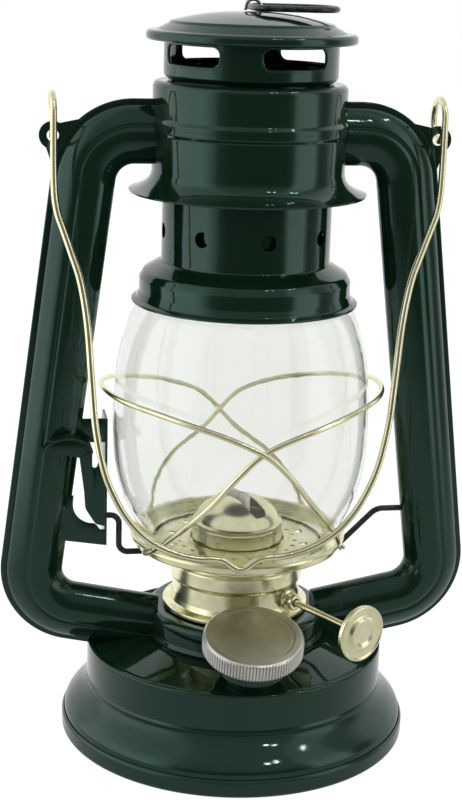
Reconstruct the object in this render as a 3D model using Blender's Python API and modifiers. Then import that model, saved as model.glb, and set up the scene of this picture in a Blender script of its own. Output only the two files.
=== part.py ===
# Hurricane lantern that burns lamp oil, standing on its foot ring at z = 0.
# Metres, +Z up. X runs through the two air tubes, with the lifter on the -X side, and -Y is the front.

import math

import bpy
import bmesh
from mathutils import Matrix, Vector

# Sheet metal, running room and facets
SHEET = 0.0006
GAP = 0.0003
OVERRUN = 0.004
MERGE = 0.00001
ROUND_STEPS = 28
MIDDLE_STEPS = 24
SMALL_STEPS = 16
FILLET_STEPS = 2
SHARP_ANGLE = math.radians(35.0)

# Foot pan and tank
FOOT_RADIUS = 0.0587
FOOT_BAND_HEIGHT = 0.0060
FOOT_RING_WIDTH = 0.0037
FOOT_FILLET = 0.0010
PAN_FLOOR_HEIGHT = 0.0040
TANK_RADIUS = 0.0502
TANK_EDGE_HEIGHT = 0.0302
TANK_EDGE_FILLET = 0.0014
FLARE_TOP_HEIGHT = 0.0172
FLARE_SHARES = [(0.22, 0.86), (0.56, 0.58), (0.84, 0.26)]
FOOT_BEAD = 0.0007
FOOT_BEAD_HEIGHT = 0.0022
SHOULDER_RISE = 0.0042
SHOULDER_INSET = 0.0022
SHOULDER_LEDGE = 0.0033

# Air collar on the tank, under the burner
COLLAR_RADIUS = 0.0297
COLLAR_HEIGHT = 0.0086
COLLAR_FILLET = 0.0020
COLLAR_HOLE_RADIUS = 0.0200
SEAT_RADIUS = 0.0110
SEAT_HEIGHT = 0.0055

# Filler neck and cap
FILLER_X = -0.0010
FILLER_ROOM = 0.0130
FILLER_RISE = 0.0145
FILLER_TILT = math.radians(14.7)
CAP_RADIUS = 0.0162
CAP_HEIGHT = 0.0063
CAP_TOP_THICKNESS = 0.0012
CAP_FLUTES = 36
CAP_FLUTE_DEPTH = 0.0004
NECK_RADIUS = 0.0086
NECK_WALL = 0.0008
NECK_LENGTH = 0.0165
THREAD_ROOM = 0.0008
GASKET_THICKNESS = 0.0010

# Burner
FLANGE_RADIUS = 0.0247
FLANGE_THICKNESS = 0.0014
BURNER_RADIUS = 0.0216
BURNER_DRUM_HEIGHT = 0.0105
BURNER_BEAD = 0.0007
BURNER_BEAD_HEIGHT = 0.0055
BURNER_HEIGHT = 0.0218
BURNER_TOP_FILLET = 0.0022
FERRULE_LENGTH = 0.0085
CONE_RADIUS = 0.0152
CONE_BAND_HEIGHT = 0.0071
CONE_HEIGHT = 0.0166
CONE_DOME_SHARES = [(0.94, 0.10), (0.84, 0.42), (0.66, 0.70), (0.40, 0.91)]
CONE_SLOT_WIDTH = 0.0050
CONE_SLOT_LENGTH = 0.0185

# Wick, its holder and the shaft that turns it
WICK_WIDTH = 0.0114
WICK_THICKNESS = 0.0020
WICK_RISE = 0.0183
WICK_LENGTH = 0.0650
HOLDER_WALL = 0.0005
HOLDER_RISE = 0.0120
HOLDER_LENGTH = 0.0380
HOLDER_DISC_THICKNESS = 0.0010
COG_RADIUS = 0.0032
COG_TEETH = 9
COG_TOOTH_DEPTH = 0.0009
COG_WIDTH = 0.0012
COG_SPACING = 0.0060
SHAFT_RADIUS = 0.0011
SHAFT_BEARING = math.radians(30.0)
SHAFT_RISE = 0.0065
KNOB_REACH = 0.0580
KNOB_RADIUS = 0.0092
KNOB_THICKNESS = 0.0016
KNOB_RING_RADIUS = 0.0046
KNOB_RING_HEIGHT = 0.0010
BUSH_WALL = 0.0014
BUSH_REACH = 0.0262
BUSH_TAIL = 0.0020

# Globe plate
PLATE_RADIUS = 0.0356
PLATE_RIM_HEIGHT = 0.0035
PLATE_HOLE_RADIUS = 0.0160
PLATE_ROLL = 0.0010
PLATE_VENT_RADIUS = 0.0015
PLATE_VENT_CIRCLE = 0.0228
PLATE_VENTS = 12
PLATE_VENT_TURN = 0.37
VENT_STEPS = 8

# Globe
GLOBE_RADIUS = 0.0424
GLOBE_WALL = 0.0012
GLOBE_HEIGHT = 0.0850
GLOBE_SHARES = [
    (0.720, 1.000), (0.825, 0.946), (0.906, 0.851), (0.975, 0.700), (1.000, 0.494), (0.982, 0.325),
    (0.920, 0.195), (0.805, 0.075), (0.694, 0.000)]

# Guard wires: angle round the lantern from the front, and share of the guard's height
GUARD_WIRE_RADIUS = 0.0009
GUARD_STANDOFF = 0.0043
GUARD_FOOT_RISE = 0.0019
GUARD_HEIGHT = 0.0530
GUARD_POINTS = 34
GUARD_CROSSING = math.radians(22.0)
GUARD_ROUTE_SHARES = [
    (129, 0.01), (141, 0.16), (157, 0.33), (172, 0.47), (188, 0.71), (205, 0.82), (224, 0.89), (241, 0.94),
    (264, 0.99), (280, 1.00), (307, 0.99), (325, 0.96), (345, 0.89), (360, 0.79), (370, 0.65), (380, 0.47),
    (390, 0.32), (400, 0.20), (411, 0.09), (425, 0.00)]

# Bell of the hood
BELL_RIM_RADIUS = 0.0370
BELL_RIM_DROP = 0.0034
BELL_SKIRT_HEIGHT = 0.0133
BELL_NECK_RADIUS = 0.0273
BELL_NECK_HEIGHT = 0.0265
BELL_SHARES = [(0.10, 0.97), (0.588, 0.76), (0.722, 0.586), (0.722, 0.27), (0.814, 0.105)]
BELL_HOLE_RADIUS = 0.0025
BELL_HOLES = 8
BELL_HOLE_RISE = 0.0100
BELL_HOLE_BEARING = math.radians(7.3)

# Inner chimney of the hood, and the spring round it
CHIMNEY_RADIUS = 0.0247
CHIMNEY_MOUTH_RADIUS = 0.0312
CHIMNEY_MOUTH_HEIGHT = 0.0115
CHIMNEY_LIP = 0.0010
SPRING_WIRE_RADIUS = 0.0006
SPRING_TURNS = 4
SPRING_TURN_POINTS = 10

# Air chamber
NECK_SHOWING = 0.0225
CHAMBER_RADIUS = 0.0309
CHAMBER_HEIGHT = 0.0345
CHAMBER_FILLET = 0.0020
SKIRT_RADIUS = 0.0381
SKIRT_FLARE_HEIGHT = 0.0057
SKIRT_SHARES = [(0.10, 0.70), (0.34, 0.40), (0.66, 0.17)]
SEAM_HEIGHT = 0.0205
SEAM_BEAD = 0.0008
SEAM_BEAD_HEIGHT = 0.0018

# Slotted collar and cap plate on top of the hood
VENT_RADIUS = 0.0276
VENT_FOOT_HEIGHT = 0.0015
VENT_HEIGHT = 0.0120
WINDOW_RISE = 0.0047
WINDOW_HEIGHT = 0.0069
WINDOW_HALF_ANGLE = math.radians(25.0)
WINDOW_CORNER = 0.0028
WINDOW_BEARINGS = [math.radians(-55.0), math.radians(22.0), math.radians(125.0), math.radians(202.0)]
LID_RIM_RADIUS = 0.0333
LID_RIM_HEIGHT = 0.0032
LID_SLOPE_RADIUS = 0.0302
LID_SHOULDER_RADIUS = 0.0255
LID_SHOULDER_RISE = 0.0028
LID_CROWN_RISE = 0.0032
LID_CROWN_SHARES = [(0.72, 0.36), (0.38, 0.80)]

# Staple and lift ring
STAPLE_RADIUS = 0.0024
STAPLE_WIRE_RADIUS = 0.0006
RING_WIRE_RADIUS = 0.0010
RING_LENGTH = 0.0262
RING_WIDTH = 0.0220
RING_CORNER = 0.0040
RING_POINTS = 28

# Air tubes: centre-line corners, bends and section
TUBE_TOP_RISE = 0.0185
TUBE_TOP_REACH = 0.0507
TUBE_FOOT_REACH = 0.0708
TUBE_FOOT_RISE = 0.0148
TUBE_FOOT_SLOPE = math.radians(11.5)
TUBE_BEND_RADIUS = 0.0160
TUBE_BEND_POINTS = 5
TUBE_HALF_WIDTH = 0.0086
TUBE_HALF_DEPTH = 0.0068
TUBE_INNER_HALF_WIDTH = 0.0103
TUBE_SECTION_SHARES = [
    (0.98, 0.20), (0.94, 0.72), (0.85, 0.84), (0.74, 0.74), (0.42, 0.76), (0.24, 0.98), (0.02, 0.90),
    (-0.38, 0.93), (-0.80, 0.66), (-0.98, 0.20)]
TUBE_BORE_SHARES = [
    (0.92, 0.15), (0.84, 0.66), (0.42, 0.66), (0.10, 0.80), (-0.38, 0.83), (-0.75, 0.60), (-0.93, 0.17)]
FIN_REACH = 0.0103
FIN_THICKNESS = 0.0011

# Bail and its ears
EAR_THICKNESS = 0.0010
EAR_BEARING = math.radians(29.5)
EAR_STANDOFF = 0.0031
EAR_RADIUS = 0.0044
EAR_HOLE_RADIUS = 0.0019
EAR_SPREAD = math.radians(21.0)
EAR_POINTS = 10
BAIL_WIRE_RADIUS = 0.0011
BAIL_EYE_RADIUS = 0.0066
BAIL_EYE_POINTS = 14
BAIL_POINTS = 42
BAIL_EYE_OPENING = math.radians(26.0)
BAIL_HANG = math.radians(13.8)
BAIL_ROOM = 0.0544
BAIL_DROP = GLOBE_HEIGHT + BAIL_ROOM
BAIL_NOTCH_DEPTH = 0.0034
BAIL_NOTCH_SHARE = 0.10
BAIL_LEAN = -0.0055
BAIL_SHARES = [
    (0.150, 0.990), (0.215, 0.972), (0.262, 0.935), (0.310, 0.895), (0.375, 0.845), (0.470, 0.805),
    (0.600, 0.775), (0.700, 0.750), (0.790, 0.705), (0.850, 0.650), (0.905, 0.575), (0.950, 0.475),
    (0.980, 0.350), (0.995, 0.225)]

# Lifter: crank wire, lever and bracket on the left tube
CRANK_WIRE_RADIUS = 0.0010
CRANK_RISE = 0.0098
CRANK_THROW = 0.0130
CRANK_YOKE_RADIUS = 0.0255
CRANK_LEFT_X = 0.0487
CRANK_LEFT_BEND_X = 0.0400
CRANK_RIGHT_BEND_X = 0.0480
CRANK_RIGHT_FOOT_X = 0.0350
CRANK_BEND = 0.0030
CRANK_SLANT_BEND = 0.0060
CRANK_YOKE_BEND = 0.0140
CRANK_BEND_POINTS = 3
WEB_X = 0.0448
BRACKET_THICKNESS = 0.0008
WEB_FRONT = 0.0040
WEB_BACK = 0.0160
WEB_DROP = 0.0091
WEB_RISE = 0.0345
ARM_LOWER_HEIGHT = 0.0054
ARM_UPPER_HEIGHT = 0.0080
LEVER_THICKNESS = 0.0008
LEVER_FRONT = 0.0078
LEVER_HUB_RADIUS = 0.0030
LEVER_FOOT_WIDTH = 0.0066
LEVER_STEM_WIDTH = 0.0024
LEVER_FOOT_RISE = 0.0220
LEVER_STEM_RISE = 0.0265
LEVER_TAB_REACH = 0.0135
LEVER_TAB_ARCH = 0.0048
LEVER_TAB_DEPTH = 0.0050
LEVER_TAB_POINTS = 8

# Radii of the tank's shoulder
SHOULDER_FOOT_RADIUS = TANK_RADIUS - SHOULDER_INSET
SHOULDER_TOP_RADIUS = COLLAR_RADIUS + SHOULDER_LEDGE

# Heights that follow from the sizes above, from the floor up
TANK_TOP = TANK_EDGE_HEIGHT + SHOULDER_RISE
COLLAR_TOP = TANK_TOP + GAP + COLLAR_HEIGHT
BURNER_FOOT = COLLAR_TOP + GAP
BURNER_TOP = BURNER_FOOT + BURNER_HEIGHT
PLATE_FOOT = BURNER_TOP + GAP
GLOBE_FOOT = PLATE_FOOT + SHEET + GAP
GLOBE_TOP = GLOBE_FOOT + GLOBE_HEIGHT
BELL_RIM = GLOBE_TOP - BELL_RIM_DROP
BELL_NECK_FOOT = BELL_RIM + BELL_SKIRT_HEIGHT
BELL_TOP = BELL_NECK_FOOT + BELL_NECK_HEIGHT
CHAMBER_FOOT = BELL_NECK_FOOT + NECK_SHOWING
CHAMBER_SEAM = CHAMBER_FOOT + SEAM_HEIGHT
CHAMBER_TOP = CHAMBER_FOOT + CHAMBER_HEIGHT
VENT_FOOT = CHAMBER_TOP + GAP
LID_RIM = VENT_FOOT + VENT_HEIGHT
LID_SLOPE = LID_RIM + LID_RIM_HEIGHT
LID_SHOULDER = LID_SLOPE + LID_SHOULDER_RISE
LID_TOP = LID_SHOULDER + LID_CROWN_RISE
RING_HEIGHT = LID_TOP + GAP + RING_WIRE_RADIUS
TUBE_TOP_HEIGHT = CHAMBER_FOOT + TUBE_TOP_RISE
TUBE_FOOT_HEIGHT = TANK_EDGE_HEIGHT + TUBE_FOOT_RISE
SHAFT_HEIGHT = BURNER_FOOT + SHAFT_RISE
WICK_TIP_HEIGHT = BURNER_TOP + WICK_RISE
FILLER_FACE_HEIGHT = TANK_TOP + FILLER_RISE
CRANK_HEIGHT = PLATE_FOOT + CRANK_RISE
WEB_FOOT_HEIGHT = CRANK_HEIGHT - WEB_DROP
WEB_TOP_HEIGHT = CRANK_HEIGHT + WEB_RISE

# Directions and places that follow from them
FILLER_AXIS = Vector((0, -math.sin(FILLER_TILT), math.cos(FILLER_TILT)))
FILLER_FACE = Vector((FILLER_X, -COLLAR_RADIUS - FILLER_ROOM, FILLER_FACE_HEIGHT))
SHAFT_AXIS = Vector((math.sin(SHAFT_BEARING), -math.cos(SHAFT_BEARING), 0))
SHAFT_SIDE = Vector((math.cos(SHAFT_BEARING), math.sin(SHAFT_BEARING), 0))
SHAFT_OFFSET = WICK_THICKNESS / 2 + GAP + COG_RADIUS
SHAFT_CENTRE = SHAFT_SIDE * SHAFT_OFFSET + Vector((0, 0, SHAFT_HEIGHT))


def collection(name):
    """Make a collection in the scene."""
    made = bpy.data.collections.new(name)
    bpy.context.scene.collection.children.link(made)
    return made


def clear_scene():
    """Remove what the scene holds at the start."""
    for item in list(bpy.data.objects):
        bpy.data.objects.remove(item, do_unlink=True)


def material(name, colour, roughness, metallic, transmission=0.0):
    """Make one Principled material."""
    made = bpy.data.materials.new(name)
    made.use_nodes = True
    shader = made.node_tree.nodes["Principled BSDF"]
    shader.inputs["Base Color"].default_value = (*colour, 1.0)
    shader.inputs["Roughness"].default_value = roughness
    shader.inputs["Metallic"].default_value = metallic
    shader.inputs["Transmission Weight"].default_value = transmission
    made.diffuse_color = (*colour, 1.0)
    return made


FINISHES = {
    "enamel": ((0.010, 0.045, 0.030), 0.18, 0.0, 0.0),
    "brass": ((0.72, 0.66, 0.38), 0.25, 1.0, 0.0),
    "nickel": ((0.62, 0.60, 0.54), 0.30, 1.0, 0.0),
    "glass": ((0.95, 0.97, 0.97), 0.02, 0.0, 1.0),
    "black": ((0.015, 0.025, 0.022), 0.35, 0.0, 0.0),
    "steel": ((0.55, 0.55, 0.55), 0.35, 1.0, 0.0),
    "cotton": ((0.80, 0.78, 0.70), 0.90, 0.0, 0.0),
    "rubber": ((0.03, 0.03, 0.03), 0.70, 0.0, 0.0),
}


def dress(item, finish):
    """Give a piece its own material of the named finish."""
    item.data.materials.clear()
    item.data.materials.append(material(item.name + "_finish", *FINISHES[finish]))


def fillet(points):
    """Round the corners of an outline whose points carry a third value, their fillet radius."""
    done = []
    count = len(points)
    for index, point in enumerate(points):
        radius = point[2] if len(point) > 2 else 0
        here = Vector(point[:2])
        if not radius:
            done.append(here)
            continue
        before = (Vector(points[index - 1][:2]) - here).normalized()
        after = (Vector(points[(index + 1) % count][:2]) - here).normalized()
        half = before.angle(after) / 2
        centre = here + (before + after).normalized() * radius / math.sin(half)
        start = here + before * radius / math.tan(half) - centre
        end = here + after * radius / math.tan(half) - centre
        turn = start.angle_signed(end)
        for step in range(FILLET_STEPS + 1):
            spun = Matrix.Rotation(-turn * step / FILLET_STEPS, 2) @ start
            done.append(centre + spun)
    return done


def turned(name, finish, points, closed=True, wall=0, steps=ROUND_STEPS):
    """Turn a profile of (radius, height) round Z: a closed ring section, or an open skin with a wall."""
    corners = fillet(points)
    mesh = bpy.data.meshes.new(name)
    edges = [(index, index + 1) for index in range(len(corners) - 1)]
    if closed:
        edges.append((len(corners) - 1, 0))
    mesh.from_pydata([(corner.x, 0, corner.y) for corner in corners], edges, [])
    item = bpy.data.objects.new(name, mesh)
    PARTS.objects.link(item)
    screw = item.modifiers.new("turn", "SCREW")
    screw.axis = "Z"
    screw.steps = steps
    screw.render_steps = steps
    screw.use_merge_vertices = True
    screw.merge_threshold = MERGE
    screw.use_smooth_shade = True
    if wall:
        thicken(item, wall)
    dress(item, finish)
    return item


def thicken(item, wall):
    """Give an open skin its wall, on the inside."""
    solidify = item.modifiers.new("wall", "SOLIDIFY")
    solidify.thickness = wall
    solidify.offset = -1
    solidify.use_even_offset = True


def circle(radius, count, x=0, y=0):
    """The points of a round outline about a centre."""
    points = []
    for step in range(count):
        angle = 2 * math.pi * step / count
        points.append((x + radius * math.cos(angle), y + radius * math.sin(angle)))
    return points


def plate(name, finish, outline, thickness, holes=()):
    """Fill a flat outline in the XY plane and give it a thickness, half each way."""
    curve = bpy.data.curves.new(name, "CURVE")
    curve.dimensions = "2D"
    curve.fill_mode = "BOTH"
    curve.extrude = thickness / 2
    for loop in (outline, *holes):
        spline = curve.splines.new("POLY")
        spline.points.add(len(loop) - 1)
        for point, place in zip(spline.points, loop):
            point.co = (place[0], place[1], 0, 1)
        spline.use_cyclic_u = True
    item = bpy.data.objects.new(name, curve)
    PARTS.objects.link(item)
    return as_mesh(item, finish)


def as_mesh(item, finish):
    """Make a curve object a closed mesh with the same name and place."""
    bpy.context.view_layer.update()
    seen = item.evaluated_get(bpy.context.evaluated_depsgraph_get())
    mesh = bpy.data.meshes.new_from_object(seen)
    form = bmesh.new()
    form.from_mesh(mesh)
    bmesh.ops.remove_doubles(form, verts=form.verts, dist=MERGE)
    bmesh.ops.recalc_face_normals(form, faces=form.faces)
    form.to_mesh(mesh)
    form.free()
    name = item.name
    place = item.matrix_world.copy()
    bpy.data.objects.remove(item, do_unlink=True)
    made = bpy.data.objects.new(name, mesh)
    made.matrix_world = place
    PARTS.objects.link(made)
    dress(made, finish)
    mesh.shade_smooth()
    mesh.set_sharp_from_angle(angle=SHARP_ANGLE)
    return made


def wire(name, finish, points, radius, cyclic=False, resolution=2):
    """Run a round wire through the points."""
    curve = bpy.data.curves.new(name, "CURVE")
    curve.dimensions = "3D"
    curve.bevel_depth = radius
    curve.bevel_resolution = resolution
    curve.use_fill_caps = True
    spline = curve.splines.new("POLY")
    spline.points.add(len(points) - 1)
    for point, place in zip(spline.points, points):
        point.co = (*place, 1)
    spline.use_cyclic_u = cyclic
    item = bpy.data.objects.new(name, curve)
    PARTS.objects.link(item)
    return as_mesh(item, finish)


def swept(name, finish, route, section):
    """Sweep a closed section along a route in the XZ plane, with the section's X towards the outside."""
    shape = bpy.data.curves.new(name + "_section", "CURVE")
    shape.dimensions = "2D"
    spline = shape.splines.new("POLY")
    spline.points.add(len(section) - 1)
    for point, place in zip(spline.points, section):
        point.co = (place[0], place[1], 0, 1)
    spline.use_cyclic_u = True
    guide = bpy.data.objects.new(name + "_section", shape)
    PARTS.objects.link(guide)
    curve = bpy.data.curves.new(name, "CURVE")
    curve.dimensions = "2D"
    curve.fill_mode = "NONE"
    curve.bevel_mode = "OBJECT"
    curve.bevel_object = guide
    curve.use_fill_caps = True
    spline = curve.splines.new("POLY")
    spline.points.add(len(route) - 1)
    for point, place in zip(spline.points, route):
        point.co = (place[0], place[1], 0, 1)
    item = bpy.data.objects.new(name, curve)
    item.rotation_euler = (math.pi / 2, 0, 0)
    PARTS.objects.link(item)
    made = as_mesh(item, finish)
    bpy.data.objects.remove(guide, do_unlink=True)
    return made


def drum(name, finish, radius, length, steps=SMALL_STEPS):
    """Make a cylinder along Z, centred on its place."""
    bpy.ops.mesh.primitive_cylinder_add(vertices=steps, radius=radius, depth=length)
    item = bpy.context.active_object
    return adopt(item, name, finish)


def block(name, finish, width, depth, height):
    """Make a box centred on its place."""
    bpy.ops.mesh.primitive_cube_add(size=1)
    item = bpy.context.active_object
    item.data.transform(Matrix.Diagonal((width, depth, height, 1)))
    return adopt(item, name, finish)


def adopt(item, name, finish):
    """Move a primitive to the lantern's collection under its own name."""
    item.name = name
    item.data.name = name
    for holder in list(item.users_collection):
        holder.objects.unlink(item)
    PARTS.objects.link(item)
    dress(item, finish)
    return item


def put(item, matrix):
    """Place an object by a matrix."""
    item.matrix_world = matrix
    return item


def at(x, y, z):
    """A plain shift."""
    return Matrix.Translation((x, y, z))


def facing(place, axis):
    """The matrix that stands an object's Z on an axis at a place."""
    return Matrix.Translation(place) @ Vector(axis).to_track_quat("Z", "Y").to_matrix().to_4x4()


def boolean(item, tool, operation):
    """Cut a tool out of an item, or join it on, and keep the tool among the cutters."""
    step = item.modifiers.new(operation.lower(), "BOOLEAN")
    step.operation = operation
    step.solver = "EXACT"
    step.object = tool
    for holder in list(tool.users_collection):
        holder.objects.unlink(tool)
    CUTTERS.objects.link(tool)
    tool.hide_render = True
    tool.display_type = "WIRE"
    return item


def cut(item, tool):
    """Cut a tool out of an item."""
    return boolean(item, tool, "DIFFERENCE")


def fuse(item, tool):
    """Join a tool to an item."""
    return boolean(item, tool, "UNION")


def share_between(shares, start, end):
    """Turn pairs of shares into points between two (radius, height) points."""
    return [
        (start[0] + (end[0] - start[0]) * across, start[1] + (end[1] - start[1]) * up)
        for across, up in shares]


def smooth_route(points, count):
    """Read a smooth curve through the points at even steps."""
    dense = []
    for index in range(len(points) - 1):
        first = points[max(index - 1, 0)]
        last = points[min(index + 2, len(points) - 1)]
        for step in range(count):
            share = step / count
            dense.append(spline_point(first, points[index], points[index + 1], last, share))
    dense.append(Vector(points[-1]))
    lengths = [0]
    for before, after in zip(dense, dense[1:]):
        lengths.append(lengths[-1] + (after - before).length)
    route = []
    index = 0
    for step in range(count):
        target = lengths[-1] * step / (count - 1)
        while index < len(lengths) - 2 and lengths[index + 1] < target:
            index += 1
        span = lengths[index + 1] - lengths[index]
        share = (target - lengths[index]) / span
        route.append(dense[index].lerp(dense[index + 1], min(share, 1)))
    return route


def spline_point(first, start, end, last, share):
    """One point of a curve that passes through start and end."""
    first, start, end, last = Vector(first), Vector(start), Vector(end), Vector(last)
    bend = 2 * first - 5 * start + 4 * end - last
    twist = 3 * start - 3 * end + last - first
    return start + ((end - first) * share + bend * share ** 2 + twist * share ** 3) / 2


def bent_route(corners, bends, count):
    """Replace the inner corners of a route with arcs."""
    route = [Vector(corners[0])]
    for index in range(1, len(corners) - 1):
        here = Vector(corners[index])
        before = (Vector(corners[index - 1]) - here).normalized()
        after = (Vector(corners[index + 1]) - here).normalized()
        half = before.angle(after) / 2
        reach = bends[index - 1] / math.tan(half)
        centre = here + (before + after).normalized() * bends[index - 1] / math.sin(half)
        start = here + before * reach - centre
        end = here + after * reach - centre
        spread = start.angle(end)
        for step in range(count + 1):
            share = step / count
            blend = start * math.sin((1 - share) * spread) + end * math.sin(share * spread)
            route.append(centre + blend / math.sin(spread))
    route.append(Vector(corners[-1]))
    return route


def globe_radius(height):
    """The globe's outer radius at a height."""
    share = min(max((height - GLOBE_FOOT) / GLOBE_HEIGHT, 0), 1)
    for upper, lower in zip(GLOBE_SHARES, GLOBE_SHARES[1:]):
        if share >= lower[1]:
            part = (share - lower[1]) / (upper[1] - lower[1])
            return GLOBE_RADIUS * (lower[0] + (upper[0] - lower[0]) * part)
    return GLOBE_RADIUS * GLOBE_SHARES[-1][0]


def pivot(name, place):
    """An empty on a joint's axis."""
    made = bpy.data.objects.new(name, None)
    made.location = place
    made.empty_display_size = BURNER_RADIUS
    PARTS.objects.link(made)
    return made


def hang(items, empty):
    """Parent moving pieces to their empty without moving them."""
    back = Matrix.Translation(empty.location).inverted()
    for item in items:
        item.parent = empty
        item.matrix_parent_inverse = back


def tank_outline(room):
    """The tank's outer outline from the shoulder's flat to the band, grown by some room."""
    skirt_radius = FOOT_RADIUS - SHEET - GAP
    flare = share_between(
        FLARE_SHARES, (TANK_RADIUS, FOOT_BAND_HEIGHT), (skirt_radius, FLARE_TOP_HEIGHT))
    return [
        (SHOULDER_TOP_RADIUS, TANK_TOP + room),
        (SHOULDER_FOOT_RADIUS + room, TANK_EDGE_HEIGHT + TANK_EDGE_FILLET / 2 + room),
        (TANK_RADIUS + room, TANK_EDGE_HEIGHT, TANK_EDGE_FILLET / 2),
        (TANK_RADIUS + room, FLARE_TOP_HEIGHT + FOOT_BEAD_HEIGHT),
        (TANK_RADIUS + room + FOOT_BEAD, FLARE_TOP_HEIGHT + FOOT_BEAD_HEIGHT / 2),
        (TANK_RADIUS + room, FLARE_TOP_HEIGHT),
        *[(radius + room, height) for radius, height in flare],
        (skirt_radius, FOOT_BAND_HEIGHT + GAP)]


def make_tank():
    """The drawn tank, its foot pan, and the air collar on its top."""
    skirt_radius = FOOT_RADIUS - SHEET - GAP
    seat = SEAT_RADIUS + SHEET
    outline = [
        (seat, TANK_TOP + SEAT_HEIGHT),
        (seat, TANK_TOP),
        *tank_outline(0),
        (skirt_radius, SHEET + GAP),
        (skirt_radius - SHEET, SHEET + GAP),
        (skirt_radius - SHEET, FOOT_BAND_HEIGHT),
        (TANK_RADIUS - SHEET, FLARE_TOP_HEIGHT),
        (TANK_RADIUS - SHEET, TANK_EDGE_HEIGHT - SHEET),
        (SHOULDER_FOOT_RADIUS, TANK_EDGE_HEIGHT - SHEET),
        (SHOULDER_TOP_RADIUS, TANK_TOP - SHEET),
        (SEAT_RADIUS, TANK_TOP - SHEET),
        (SEAT_RADIUS, TANK_TOP + SEAT_HEIGHT)]
    tank = turned("tank_body", "enamel", outline)
    foot_inside = FOOT_RADIUS - FOOT_RING_WIDTH
    pan_outline = [
        (FOOT_RADIUS, FOOT_BAND_HEIGHT),
        (FOOT_RADIUS, 0, FOOT_FILLET),
        (foot_inside, 0, FOOT_FILLET),
        (foot_inside, PAN_FLOOR_HEIGHT),
        (0, PAN_FLOOR_HEIGHT)]
    turned("base_pan", "enamel", pan_outline, closed=False, wall=SHEET)
    collar_outline = [
        (COLLAR_HOLE_RADIUS, COLLAR_TOP),
        (COLLAR_RADIUS, COLLAR_TOP, COLLAR_FILLET),
        (COLLAR_RADIUS, TANK_TOP + GAP)]
    collar = turned("air_collar", "enamel", collar_outline, closed=False, wall=SHEET)
    return tank, collar


def make_filler(tank):
    """The filler neck through the tank's shoulder, with its gasket and knurled cap."""
    neck_top = CAP_TOP_THICKNESS + GASKET_THICKNESS + 2 * GAP
    neck_bore = NECK_RADIUS - NECK_WALL
    down = -neck_top - NECK_LENGTH
    neck = turned("filler_neck", "nickel", [
        (NECK_RADIUS, -neck_top), (NECK_RADIUS, down), (neck_bore, down), (neck_bore, -neck_top)],
        steps=SMALL_STEPS)
    seat = facing(FILLER_FACE, FILLER_AXIS)
    put(neck, seat)
    opening = drum("neck_opening", "steel", NECK_RADIUS + GAP, NECK_LENGTH)
    put(opening, seat @ at(0, 0, down + NECK_LENGTH / 2))
    cut(tank, opening)
    gasket_top = -CAP_TOP_THICKNESS - GAP
    gasket_foot = gasket_top - GASKET_THICKNESS
    bore = NECK_RADIUS + THREAD_ROOM
    gasket = turned("cap_gasket", "rubber", [
        (bore - GAP, gasket_top), (bore - GAP, gasket_foot),
        (neck_bore, gasket_foot), (neck_bore, gasket_top)], steps=SMALL_STEPS)
    put(gasket, seat)
    rim = []
    for step in range(2 * CAP_FLUTES):
        angle = math.pi * step / CAP_FLUTES
        radius = CAP_RADIUS - CAP_FLUTE_DEPTH * (step % 2)
        rim.append((radius * math.cos(angle), radius * math.sin(angle)))
    cap = plate("fuel_cap", "nickel", rim, CAP_HEIGHT)
    put(cap, seat @ at(0, 0, -CAP_HEIGHT / 2))
    pocket_depth = CAP_HEIGHT - CAP_TOP_THICKNESS + OVERRUN
    pocket = drum("cap_pocket", "steel", bore, pocket_depth)
    put(pocket, seat @ at(0, 0, -CAP_TOP_THICKNESS - pocket_depth / 2))
    cut(cap, pocket)
    hang([gasket], pivot("cap_seal_pivot", FILLER_FACE))
    hang([cap], pivot("fuel_cap_pivot", FILLER_FACE))


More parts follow.
